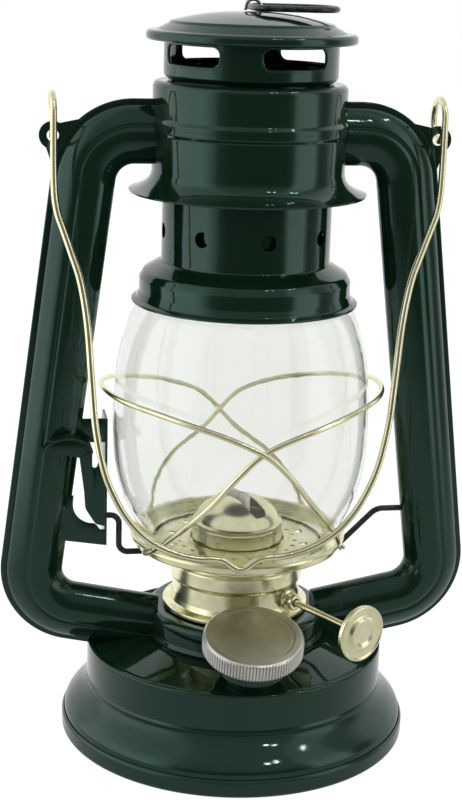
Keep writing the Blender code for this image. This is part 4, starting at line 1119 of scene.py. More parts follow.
@dataclass(frozen=True)
class Softbox:
    """A square lamp that lights the lantern and isn't seen itself."""

    name: str
    bearing: float
    away: float
    height: float
    size: float
    power: float

    def hang(self, target: Vector) -> None:
        """Hang the lamp.

        Args:
            target: The point that it looks at.
        """
        data = bpy.data.lights.new(self.name, "AREA")
        data.shape = "SQUARE"
        data.size = self.size
        data.energy = self.power
        lamp = stood(self.name, data)
        turn = math.radians(self.bearing)
        place = Vector((self.away * math.sin(turn), -self.away * math.cos(turn), self.height))
        aim = (target - place).to_track_quat("-Z", "Y").to_matrix().to_4x4()
        lamp.matrix_world = Matrix.Translation(place) @ aim
        lamp.visible_camera = False
        lamp.visible_glossy = False
        lamp.visible_transmission = False


@dataclass
class Studio:
    """The camera, the lamps, the pale floor and the room that the gloss shows.

    Bearings are in degrees from the front, and each ring or ramp is pairs of a place and a
    brightness.
    """

    distance: float = 0.5336
    height: float = 0.258
    yaw: float = math.radians(10.0)
    pitch: float = math.radians(15.05)
    roll: float = math.radians(1.79)
    lens: float = 75.105
    sensor: float = 36.0
    shift: float = -0.01245
    fill: float = 0.42
    walls: Points = (
        (-180, 1.0), (-128, 1.0), (-122, 1.45), (-64, 1.7), (-52, 0.9), (-45, 0.3), (-35, 0.12),
        (-10, 0.09), (20, 0.09), (36, 0.12), (42, 0.3), (46, 1.0), (50, 1.45), (72, 1.45), (77, 0.5),
        (82, 0.2), (92, 0.25), (104, 0.9), (115, 1.0), (180, 1.0))
    ground: Points = (
        (-180, 1.0), (-137, 1.05), (-98, 0.82), (-60, 0.6), (-10, 0.54), (44, 0.57), (70, 0.62),
        (99, 0.75), (130, 1.0), (180, 1.0))
    ring_scale: float = 2.0
    sides: Points = ((0.35, 1.0), (0.6, 0.5), (0.8, 0.26), (1.0, 0.14))
    ceiling: Points = ((0.3, 0.0), (0.5, 0.34), (0.75, 0.46), (1.0, 0.5))
    strips: Points = ((21, 24), (30, 33), (62, 65), (71, 74))
    strip_edge: float = 0.002
    strip_band: Points = ((0.788, 0.0), (0.794, 1.0), (0.816, 1.0), (0.822, 0.0))
    strip_light: float = 40.0
    floor_half: float = 6.0
    floor_near: float = 0.25
    floor_far: float = 0.7
    floor_matt: float = 0.82
    floor_white: float = 1.17
    floor_seen: float = 0.8
    lamps: Sequence[Softbox] = (
        Softbox("left_softbox", -88.0, 1.1, 0.55, 0.9, 4.4),
        Softbox("right_softbox", 40.0, 1.2, 0.65, 0.7, 4.6),
        Softbox("back_softbox", 160.0, 1.3, 0.75, 0.9, 3.6),
        Softbox("top_softbox", 10.0, 0.3, 1.45, 0.9, 6.0))
    target: float = 0.11

    def build(self) -> None:
        """Set up the whole studio."""
        bpy.context.scene.view_settings.view_transform = "Standard"
        self.set_camera()
        self.set_world()
        self.set_floor()
        for lamp in self.lamps:
            lamp.hang(Vector((0.0, 0.0, self.target)))

    def set_camera(self) -> None:
        """Stand the camera where the photograph was taken."""
        data = bpy.data.cameras.new("view_camera")
        data.sensor_fit = "VERTICAL"
        data.sensor_height = self.sensor
        data.lens = self.lens
        data.shift_x = self.shift
        camera = stood("view_camera", data)
        away = Vector((math.sin(self.yaw), math.cos(self.yaw), 0.0))
        ahead = away * math.cos(self.pitch) - Vector((0.0, 0.0, math.sin(self.pitch)))
        right = Vector((math.cos(self.yaw), -math.sin(self.yaw), 0.0))
        up = right.cross(ahead)
        turned_right = right * math.cos(self.roll) + up * math.sin(self.roll)
        turned_up = up * math.cos(self.roll) - right * math.sin(self.roll)
        pose = Matrix((turned_right, turned_up, -ahead)).transposed().to_4x4()
        pose.translation = Vector((0.0, 0.0, self.height)) - away * self.distance
        camera.matrix_world = pose
        bpy.context.scene.camera = camera

    @staticmethod
    def bearing(x: Signal, y: Signal) -> Signal:
        """Give a direction's bearing as a share of a full turn, with the front in the middle."""
        return x.turn_to(0.0 - y) / math.tau + 0.5

    @staticmethod
    def rays(sheet: NodeSheet) -> tuple[Signal, Signal]:
        """Tell rays apart.

        Args:
            sheet: The sheet to lay the node on.

        Returns:
            One where the camera sees the place, also through glass, and one for gloss.
        """
        camera = sheet.node("ShaderNodeLightPath", out="Is Camera Ray")
        seen = camera.larger(sheet.other(camera, "Is Transmission Ray"))
        return seen, sheet.other(camera, "Is Glossy Ray")

    def room(self, sheet: NodeSheet, bearing: Signal, ring: Points) -> Signal:
        """Give how bright the room is in each direction about the lantern.

        Args:
            sheet: The sheet to lay the nodes on.
            bearing: The direction as a share of a full turn.
            ring: Pairs of a bearing in degrees and a brightness.

        Returns:
            The room's brightness as a shade of grey.
        """
        stops = [(angle / 360 + 0.5, value / self.ring_scale) for angle, value in ring]
        return sheet.ramp(bearing, stops) * self.ring_scale

    def set_world(self) -> None:
        """Light the room: white for the camera, softboxes for the gloss, an even fill for the rest."""
        world = bpy.data.worlds.new("studio")
        world.use_nodes = True
        bpy.context.scene.world = world
        sheet = NodeSheet(world.node_tree)
        x, y, z = sheet.split(sheet.node("ShaderNodeTexCoord", out="Generated"))
        bearing = self.bearing(x, y)
        strips: list[tuple[float, float]] = []
        for low, high in self.strips:
            start, end = low / 360 + 0.5, high / 360 + 0.5
            strips += [
                (start - self.strip_edge, 0.0), (start, 1.0), (end, 1.0), (end + self.strip_edge, 0.0)]
        strip = sheet.ramp(bearing, strips) * sheet.ramp(z, self.strip_band)
        wall = self.room(sheet, bearing, self.walls) * sheet.ramp(z, self.sides)
        gloss = wall + sheet.ramp(z, self.ceiling) + strip * self.strip_light
        seen, glossy = self.rays(sheet)
        level = (1.0 - seen) * (glossy * gloss + (1.0 - glossy) * self.fill) + seen
        sheet.surface(
            sheet.node("ShaderNodeBackground", None, {"Color": (1.0, 1.0, 1.0, 1.0), "Strength": level}),
            "ShaderNodeOutputWorld")

    def set_floor(self) -> None:
        """Lay the floor: white to the camera, with the lantern's shadow on it."""
        form = Form()
        bmesh.ops.create_grid(form.mesh, x_segments=1, y_segments=1, size=self.floor_half)
        mesh = form.poured("pale_floor")
        sheet, made = NodeSheet.for_material("pale_floor")
        x, y, _ = sheet.split(sheet.place())
        bearing = self.bearing(x, y)
        away = (x * x + y * y) ** 0.5
        span = self.floor_far - self.floor_near
        far = sheet.ramp((away - self.floor_near) / span, ((0.0, 0.0), (1.0, 1.0)))
        shine = self.room(sheet, bearing, self.walls) * far
        shine = shine + self.room(sheet, bearing, self.ground) * (1.0 - far)
        seen, glossy = self.rays(sheet)
        matt = sheet.node("ShaderNodeBsdfDiffuse", None, {"Color": (*[self.floor_matt] * 3, 1.0)})
        white, room = (
            sheet.node("ShaderNodeEmission", None, {"Color": (1.0, 1.0, 1.0, 1.0), "Strength": strength})
            for strength in (self.floor_white, shine))
        shown = sheet.shaders(seen * self.floor_seen, matt, white)
        sheet.surface(sheet.shaders(glossy * (1.0 - seen), shown, room))
        mesh.materials.append(made)
        stood("pale_floor", mesh)


# The lantern's sub-assemblies


@dataclass
class Tank:
    """The drawn tank on its foot pan, with the air collar on top."""

    foot_radius: float = 0.0587
    foot_fillet: float = 0.0014
    band: float = 0.006
    hem: Points = ((-SHEET, 0.0001), (0.0, -0.0007, 0.0008))
    ring_width: float = 0.0037
    floor: float = 0.004
    floor_fillet: float = 0.001
    radius: float = 0.0502
    top: float = 0.0344
    seat_radius: float = 0.0116
    seat: Points = ((0.0, 0.0051), (0.0, 0.0, 0.0008))
    shoulder_top: float = 0.033
    shoulder_fillet: float = 0.004
    edge_height: float = 0.0302
    edge: Points = (
        (-0.0028, 0.0009, 0.0006), (-0.002, 0.0004, 0.0003), (-0.0014, 0.0012, 0.0005),
        (-0.0001, 0.001, 0.0007), (0.0, -0.0012, 0.0004))
    flare_top: float = 0.0172
    bead: Points = ((0.0, 0.0022, 0.0008), (0.00042, 0.00121, 0.0006), (0.0001, 0.0001, 0.0009))
    flare_start: Points = ((0.0001, -0.0004),)
    flare: Points = (
        (0.05, 0.93), (0.14, 0.84), (0.27, 0.74), (0.42, 0.64), (0.57, 0.54), (0.71, 0.44),
        (0.83, 0.345), (0.92, 0.25), (0.975, 0.16), (1.0, 0.06))
    skirt_fillet: float = 0.0006
    skirt_tuck: float = 0.0004
    collar_radius: float = 0.0297
    collar_top: float = 0.0433
    collar_fillet: float = 0.002
    collar_hole: float = 0.02
    collar_lip: Points = ((0.0, -0.0004), (0.0006, 0.0, 0.0004))
    collar_foot: Points = ((0.0, 0.0012, 0.0008), (0.0008, 0.0))

    def build(self, filler: "Filler") -> None:
        """Build the tank, the pan and the collar.

        Args:
            filler: The filler, whose neck passes through the shoulder.
        """
        self.build_pan()
        self.build_tank(filler)
        self.build_collar()

    def build_pan(self) -> None:
        """Build the pan under the tank, its rim folded round the foot."""
        inside = self.foot_radius - self.ring_width
        line = rounded([
            *offset(self.foot_radius, self.band, self.hem), (self.foot_radius, 0.0, self.foot_fillet),
            (inside, 0.0, self.floor_fillet), (inside, self.floor, self.floor_fillet),
            (0.0, self.floor)], closed=False)
        section = walled(line)
        section[len(line)] = Vector((0.0, self.floor + SHEET))
        Form().turned(section).settle("foot_pan", "stand", ENAMEL, "base_pan")

    def build_tank(self, filler: "Filler") -> None:
        """Build the tank's shell with its rolled top seam and its flared foot.

        Args:
            filler: The filler, whose neck passes through the shoulder.
        """
        skirt = self.foot_radius - SHEET - GAP
        start = offset(self.radius, self.flare_top, self.flare_start)
        flare = shared(self.flare, (self.radius, self.band), (skirt, self.flare_top))
        line = rounded([
            *offset(self.seat_radius, self.top, self.seat),
            (self.shoulder_top, self.top, self.shoulder_fillet),
            *offset(self.radius, self.edge_height, self.edge),
            *offset(self.radius, self.flare_top, self.bead),
            *flowing([*start, *flare], steps=3),
            (skirt, self.band + GAP, self.skirt_fillet),
            (skirt - self.skirt_tuck, SHEET + GAP)], closed=False)
        neck = Form().drum(filler.neck_radius + GAP, filler.neck_length)
        middle = moved(z=-filler.neck_length / 2 - filler.neck_drop)
        form = Form().turned(walled(line)).cut(neck.placed(filler.stand() @ middle))
        form.settle("tank_shell", "stand", ENAMEL, "tank_body")

    def build_collar(self) -> None:
        """Build the collar that carries the burner."""
        line = rounded([
            *offset(self.collar_hole, self.collar_top, self.collar_lip),
            (self.collar_radius, self.collar_top, self.collar_fillet),
            *offset(self.collar_radius, self.top + GAP, self.collar_foot)], closed=False)
        Form().turned(walled(line)).settle("air_collar_shell", "stand", ENAMEL, "air_collar")


@dataclass
class Filler:
    """The filler neck through the tank's shoulder and its knurled cap."""

    place: Sequence[float] = (-0.001, -0.0427, 0.0489)
    axis: Sequence[float] = (0.0, -0.253758, 0.967268)
    neck_radius: float = 0.0086
    neck_wall: float = 0.0008
    neck_length: float = 0.0165
    neck_top: float = -0.0028
    neck_fillet: float = 0.0002
    neck_drop: float = 0.004
    flange: Points = ((0.0, -0.0006), (0.003, -0.0012, 0.0006), (0.0036, -0.0052, 0.0006), (0.0, -0.0062))
    cap_radius: float = 0.0162
    cap_height: float = 0.0063
    cap_roof: float = 0.0012
    cap_crease: float = math.radians(50.0)
    face: Points = ((0.0, -0.0002), (0.0128, -0.0002, 0.0006), (0.0134, 0.0, 0.0004))
    brim: Points = ((-0.0009, -0.00002, 0.0005), (-0.0002, -0.0006, 0.0004), (0.0, -0.0011, 0.0002))
    hem: Points = ((0.0, 0.0008, 0.0002), (-0.0004, 0.0003, 0.0003), (-0.0012, 0.0, 0.0003))
    hem_fillet: float = 0.0003
    thread_room: float = 0.0008
    ribs: int = 96
    rib_depth: float = 0.00052
    rib_band: float = 0.00035
    rib_top: float = -0.0009
    rib_foot: float = 0.0006

    def stand(self) -> Matrix:
        """Give the matrix of the neck's own axes, with the cap's face at zero."""
        return facing(self.place, self.axis)

    def build(self, nodes: dict[str, bpy.types.Object]) -> None:
        """Build the neck and the cap, and dress the cap's gasket.

        Args:
            nodes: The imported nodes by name.
        """
        RUBBER.dress(nodes["cap_gasket"])
        radius = self.neck_radius
        bore = radius - self.neck_wall
        foot = self.neck_top - self.neck_length
        neck = rounded([
            (radius, self.neck_top, self.neck_fillet), *offset(radius, -self.cap_height, self.flange),
            (radius, foot), (bore, foot), (bore, self.neck_top, self.neck_fillet)])
        Form().turned(neck, MIDDLE_TURN).placed(self.stand()).settle(
            "filler_boss", "stand", ENAMEL, "filler_neck")
        self.build_cap()

    def build_cap(self) -> None:
        """Build the cap: a bare face inside a raised border, and a ribbed skirt."""
        bore = self.neck_radius + self.thread_room
        radius = self.cap_radius
        ledge = -self.cap_height
        section = rounded([
            *self.face, *offset(radius, 0.0, self.brim), *offset(radius, ledge, self.hem),
            (bore, ledge, self.hem_fillet), (bore, -self.cap_roof), (0.0, -self.cap_roof)],
            closed=False)
        ribs = grooves(
            self.ribs, self.rib_depth, radius - self.rib_band, ledge + self.rib_foot, self.rib_top)
        nickel = BrushedNickel("plated_cap", stand=self.stand(), ribs=self.ribs, rim=radius)
        Form().turned(section, self.ribs * 3).waved(ribs).placed(self.stand()).settle(
            "filler_cap", "cap", nickel, "fuel_cap", crease=self.cap_crease)


@dataclass
class Burner:
    """The burner drum, its slotted cone, the wick, its holder, shaft and knob."""

    foot: float = 0.0436
    top: float = 0.0654
    radius: float = 0.0216
    top_step: float = 0.0005
    top_fillet: float = 0.0022
    crown: Points = ((-0.0042, 0.0, 0.0006), (-0.0036, -top_step, 0.0006), (0.0, -top_step, top_fillet))
    side: Points = (
        (0.0, 0.0166, 0.0009), (0.0007, 0.0156, 0.001), (0.0007, 0.0109, 0.001),
        (-0.0002, 0.0099, 0.0009), (0.0, 0.004, 0.001), (0.0004, 0.002, 0.0006))
    flange_radius: float = 0.0247
    flange: float = 0.0014
    flange_edge: Points = ((0.0, 0.0016, 0.0005), (0.0, 0.0, 0.0005))
    ferrule: float = 0.0107
    ferrule_length: float = 0.0085
    cutter: float = 0.008
    cone_radius: float = 0.0152
    cone_band: float = 0.0071
    cone_height: float = 0.0154
    band_lip: Points = ((-0.0011, 0.0004), (-0.0004, 0.0, 0.0005), (0.0, -0.001, 0.0006))
    band_foot: Points = ((0.0, 0.0011, 0.0005), (-0.0001, 0.0))
    dome_inset: float = 0.0007
    dome_foot: float = 0.002
    dome: Points = (
        (1.0, 0.0), (0.94, 0.1), (0.84, 0.42), (0.66, 0.7), (0.4, 0.91), (0.16, 0.985), (0.0, 1.0))
    slot_back: float = 0.0082
    slot_front: float = 0.0124
    slot_width: float = 0.0058
    slot_fillet: float = 0.002
    turn: Matrix = about_z(math.radians(-60.0))
    wick_width: float = 0.0114
    wick_thickness: float = 0.002
    wick_rounding: float = 0.9
    wick_length: float = 0.065
    wick_tip: float = 0.0837
    wick_rows: int = 90
    thread_pitch: float = 0.0011
    thread_swell: float = 0.00006
    tip_length: float = 0.004
    tip_dip: float = 0.001
    tip_pinch: float = 0.25
    comb_turns: float = 9100.0
    comb_depth: float = 0.00018
    holder_wall: float = 0.0005
    shaft_place: Sequence[float] = (0.003897, 0.00225, 0.0501)
    shaft_axis: Sequence[float] = (0.5, -0.8660254, 0.0)
    shaft_radius: float = 0.0011
    shaft_fillets: Sequence[float] = (0.0003, 0.0002)
    shaft_sides: int = 28
    bush_wall: float = 0.0014
    bush_reach: float = 0.0262
    bush_tail: float = 0.019
    bush_fillet: float = 0.0002
    bush: Points = (
        (-0.0003, bush_reach, 0.0003), (0.0, 0.0254, 0.0003), (0.0, 0.0232, 0.0002),
        (0.0007, 0.0228, 0.0002), (0.0007, 0.0217, 0.0002), (0.0, 0.0214), (0.0, bush_tail))
    knob_reach: float = 0.058
    knob_radius: float = 0.0092
    knob_thickness: float = 0.0016
    knob_boss: float = 0.00045
    knob_ring: float = 0.0046
    knob_bead: Points = (
        (-0.0016, 0.00042, 0.0006), (-0.0004, 0.0009, 0.0006), (0.0004, 0.0009, 0.0006),
        (0.0014, 0.0, 0.0007))
    knob_rim: Points = ((-0.0012, 0.0, 0.0006), (-0.0007, 0.0003, 0.0004), (0.0, 0.0002, 0.0005))
    knob_back: Points = ((0.0, 0.0001, 0.0004), (-0.0014, 0.0, 0.0004))
    notches: int = 60
    notch_depth: float = 0.00012
    notch_band: float = 0.0002

    def build(self, nodes: dict[str, bpy.types.Object]) -> None:
        """Build every part of the burner, and dress the wick's holder and wheels.

        Args:
            nodes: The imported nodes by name.
        """
        for name in ("wick_holder", "wick_cog_front", "wick_cog_back"):
            BRASS.dress(nodes[name])
        self.build_drum()
        self.build_cone()
        self.build_wick()
        self.build_drive()
        self.build_knob()

    def build_drum(self) -> None:
        """Build the spun drum with its bead, its flange and the ferrule below."""
        floor = self.foot + self.flange
        inside = self.radius - SHEET
        roof = self.top - self.top_step - SHEET
        tail = self.foot - self.ferrule_length
        section = rounded([
            (0.0, self.top), *offset(self.radius, self.top, self.crown),
            *offset(self.radius, self.foot, self.side),
            *offset(self.flange_radius, self.foot, self.flange_edge),
            (self.ferrule, self.foot), (self.ferrule, tail), (self.ferrule - SHEET, tail),
            (self.ferrule - SHEET, floor), (inside, floor + SHEET), (inside, self.top - self.top_fillet),
            (inside - self.top_fillet, roof), (0.0, roof)], closed=False)
        tools = Form()
        bmesh.ops.create_cube(tools.mesh, size=1.0)
        room = 4 * GAP + 2 * self.holder_wall
        tools.placed(self.turn @ moved(z=self.top) @ Matrix.Diagonal(
            (self.wick_width + room, self.wick_thickness + room, self.cutter, 1.0)))
        hole = Form().drum(self.shaft_radius + self.bush_wall + 2 * GAP, self.cutter)
        hole.placed(facing(self.shaft_place, self.shaft_axis) @ moved(z=inside))
        Form().turned(section).cut(tools.joined(hole)).settle(
            "burner_drum", "stand", SPUN_BRASS, "burner_body")

    def build_cone(self) -> None:
        """Build the cone: a brass band, and a bright dome with the flame's slot."""
        foot = self.top + GAP
        band_top = foot + self.cone_band
        band = rounded([
            *offset(self.cone_radius, band_top, self.band_lip),
            *offset(self.cone_radius, foot, self.band_foot)], closed=False)
        Form().turned(walled(band), MIDDLE_TURN).settle("cone_band", "stand", BRASS)
        crown = foot + self.cone_height
        radius = self.cone_radius - self.dome_inset
        dome = flowing(shared(self.dome, (0.0, band_top), (radius, crown)), steps=6)
        section = walled([Vector((radius, foot + self.dome_foot)), *dome])
        section[-len(dome) - 1] = Vector((0.0, crown - SHEET))
        half = self.slot_width / 2
        slot = Form().plate(
            rounded(oblong((-self.slot_back, -half), (self.slot_front, half), self.slot_fillet)),
            2 * (self.cone_height - self.cone_band))
        slot.placed(self.turn @ moved(z=crown))
        Form().turned(section, MIDDLE_TURN).cut(slot).settle("cone_dome", "stand", BRASS, "burner_cone")

    def build_wick(self) -> None:
        """Build the woven wick, its trimmed tip a little frayed."""
        half, depth = self.wick_width / 2, self.wick_thickness / 2
        outline = rounded(oblong((-half, -depth), (half, depth), depth * self.wick_rounding), steps=4)
        foot = Vector((0, 0, self.wick_tip - self.wick_length))
        rise = Vector((0, 0, self.wick_length / self.wick_rows))
        route = [foot + rise * step for step in range(self.wick_rows + 1)]
        weave = WickWeave("woven_wick", stand=self.turn, pitch=self.thread_pitch)
        form = Form().swept(route, outline, across=Vector((1, 0, 0))).waved(self.fray)
        form.placed(self.turn).settle("wick_strip_woven", "wick_strip", weave, "wick")

    def fray(self, place: Vector) -> Vector:
        """Swell the wick's threads and dip its trimmed tip.

        Args:
            place: A point of the wick.

        Returns:
            The point's shift.
        """
        strand = math.sin(place.x * math.tau / self.thread_pitch) * self.thread_swell
        tip = max(place.z - self.wick_tip + self.tip_length, 0.0) / self.tip_length
        dip = (2 * place.x / self.wick_width) ** 2 * self.tip_dip * tip
        comb = abs(math.sin(place.x * self.comb_turns)) * self.comb_depth * tip
        pinch = place.y * self.tip_pinch * tip
        return Vector((0.0, math.copysign(strand, place.y) - pinch, -dip - comb))

    def build_drive(self) -> None:
        """Build the wick's shaft and its bush."""
        stand = facing(self.shaft_place, self.shaft_axis)
        inner = self.shaft_radius + GAP
        outer = inner + self.bush_wall
        bush = rounded([
            (inner, self.bush_reach, self.bush_fillet), *offset(outer, 0.0, self.bush),
            (inner, self.bush_tail)])
        Form().turned(bush, SMALL_TURN).placed(stand).settle("shaft_bush", "stand", BRASS, "knob_bush")
        aside = math.hypot(*self.shaft_place[:2])
        tail = GAP + self.shaft_radius - math.sqrt((self.radius - SHEET) ** 2 - aside ** 2)
        back = self.knob_reach - self.knob_thickness - GAP
        tail_fillet, back_fillet = self.shaft_fillets
        shaft = rounded([
            (0.0, tail), (self.shaft_radius, tail, tail_fillet),
            (self.shaft_radius, back, back_fillet), (0.0, back)], closed=False)
        Form().turned(shaft, self.shaft_sides).placed(stand).settle(
            "knob_shaft", "knob", BRASS, "wick_shaft")

    def build_knob(self) -> None:
        """Build the pressed knob with its fine edge notches."""
        radius, back = self.knob_radius, -self.knob_thickness
        section = rounded([
            (0.0, self.knob_boss), *offset(self.knob_ring, 0.0, self.knob_bead),
            *offset(radius, 0.0, self.knob_rim), *offset(radius, back, self.knob_back),
            (0.0, back)], closed=False)
        coin = grooves(self.notches, self.notch_depth, radius - self.notch_band, 2 * back, radius)
        stand = facing(self.shaft_place, self.shaft_axis)
        Form().turned(section, self.notches * 3).waved(coin).placed(
            stand @ moved(z=self.knob_reach)).settle(
            "knob_disc", "knob", BRASS, "wick_knob")


@dataclass
class GlobeCarrier:
    """The globe plate, the globe on it, and the guard wires round it."""

    plate_radius: float = 0.0356
    foot: float = 0.0657
    rim: float = 0.0035
    plate_wall: float = 0.00048
    hole: float = 0.016
    hole_lip: Points = ((0.0, 0.0013), (0.0001, 0.0, 0.0006))
    plate_edge: Points = ((-0.0008, 0.0, 0.0008),)
    rim_roll: Points = ((-SHEET, -0.0004, 0.0006), (0.0, -0.0001, 0.0004), (0.0, -0.0009))
    vent_radius: float = 0.0015
    vent_circle: float = 0.0228
    vents: int = 12
    vent_turn: float = 0.37
    small_radius: float = 0.0009
    small_circle: float = 0.0195
    small_turns: Sequence[float] = (0.25, 0.75)
    globe_radius: float = 0.0424
    globe_height: float = 0.085
    globe_foot: float = 0.0666
    globe_wall: float = 0.0012
    shares: Points = (
        (0.72, 1.0), (0.825, 0.946), (0.906, 0.851), (0.975, 0.7), (1.0, 0.494), (0.982, 0.325),
        (0.92, 0.195), (0.805, 0.075), (0.694, 0.0))
    wire: float = 0.0009
    standoff: float = 0.0043
    wire_rise: float = 0.0019
    wire_height: float = 0.053
    wire_points: int = 200
    route: Points = (
        (129, 0.01), (141, 0.16), (157, 0.33), (172, 0.47), (188, 0.71), (205, 0.82), (224, 0.89),
        (241, 0.94), (264, 0.99), (280, 1.0), (307, 0.99), (325, 0.96), (345, 0.89), (360, 0.79),
        (370, 0.65), (380, 0.47), (390, 0.32), (400, 0.2), (411, 0.09), (425, 0.0))
    crossing: float = math.radians(22.0)
    drop: Sequence[float] = (0.9, 2.0, 1.3)

    def build(self) -> None:
        """Build the plate, the globe and both wires."""
        self.build_plate()
        line = flowing(shared(
            self.shares, (0.0, self.globe_foot),
            (self.globe_radius, self.globe_foot + self.globe_height)), steps=9)
        Form().turned(walled(line, self.globe_wall)).settle(
            "clear_globe", "globe_carrier", GLASS, "glass_globe")
        for side, name in SIDES:
            route = self.wire_route(side, line)
            form = wire_form(route, self.wire)
            for end in (route[0], route[-1]):
                form.joined(self.solder(end))
            form.settle("guard_hoop_" + name, "globe_carrier", BRASS, "guard_wire_" + name)

    def vent_tool(self, radius: float, circle: float, turn: float, steps: int) -> Form:
        """Make the tool of one hole in the plate.

        Args:
            radius: The hole's radius.
            circle: How far its middle is from the axis.
            turn: Its place round the plate, in pitches of the large holes.
            steps: The faces round the hole.

        Returns:
            The tool.
        """
        place = about_z(math.tau * turn / self.vents) @ moved(circle, 0, self.foot)
        return Form().drum(radius, PIERCE, steps).placed(place)

    def build_plate(self) -> None:
        """Build the pierced plate with its rolled rim and the seat of the globe."""
        line = rounded([
            *offset(self.hole, self.foot, self.hole_lip),
            *offset(self.plate_radius, self.foot, self.plate_edge),
            *offset(self.plate_radius, self.foot + self.rim, self.rim_roll)], closed=False)
        tools = Form()
        for step in range(self.vents):
            turn = step + self.vent_turn
            tools.joined(self.vent_tool(self.vent_radius, self.vent_circle, turn, 24))
            for shift in self.small_turns:
                tools.joined(self.vent_tool(self.small_radius, self.small_circle, turn + shift, 16))
        Form().turned(walled(line, -self.plate_wall)).cut(tools).settle(
            "pierced_plate", "globe_carrier", BRASS, "globe_plate")

    def wire_route(self, side: int, line: Sequence[Vector]) -> list[Vector]:
        """Run a guard wire round its own side of the globe.

        Args:
            side: Minus one for the left wire, one for the right.
            line: The globe's outer line.

        Returns:
            The middle of the wire.
        """
        foot = self.foot + self.wire_rise
        rim = self.plate_radius + GAP + self.wire
        stations = [
            Vector((math.radians(degrees) * self.wire_height, 0, foot + self.wire_height * share))
            for degrees, share in self.route]
        route: list[Vector] = []
        for station in evened(flowing(stations, steps=12), self.wire_points):
            angle = station.x / self.wire_height
            radius = max(rim, self.radius_at(station.z, line) + self.standoff)
            for crossing in (math.pi, 2 * math.pi):
                away = abs(angle - crossing)
                if away < self.crossing:
                    lean = math.cos(away / self.crossing * math.pi / 2) ** 2
                    radius -= side * (self.wire + GAP / 2) * lean
            route.append(Vector((-side * radius * math.sin(angle), -radius * math.cos(angle), station.z)))
        return route

    @staticmethod
    def radius_at(height: float, line: Sequence[Vector]) -> float:
        """Read the globe's radius at a height.

        Args:
            height: The height.
            line: The globe's outer line, from its mouth to its foot.

        Returns:
            The radius there, or at the foot for a height below it.
        """
        for upper, lower in zip(line, line[1:]):
            if upper.y >= height >= lower.y:
                part = (height - lower.y) / (upper.y - lower.y)
                return lower.x + (upper.x - lower.x) * part
        return line[-1].x

    def solder(self, end: Vector) -> Form:
        """Make the drop of solder that holds a wire's end to the rim.

        Args:
            end: The wire's end.

        Returns:
            The drop.
        """
        form = Form()
        bmesh.ops.create_icosphere(form.mesh, subdivisions=3, radius=1.0)
        size = Vector(self.drop) * self.wire
        bearing = math.atan2(end.y, end.x)
        inward = moved(-size.x)
        return form.placed(
            Matrix.Translation(end) @ about_z(bearing) @ inward @ Matrix.Diagonal((*size, 1.0)))


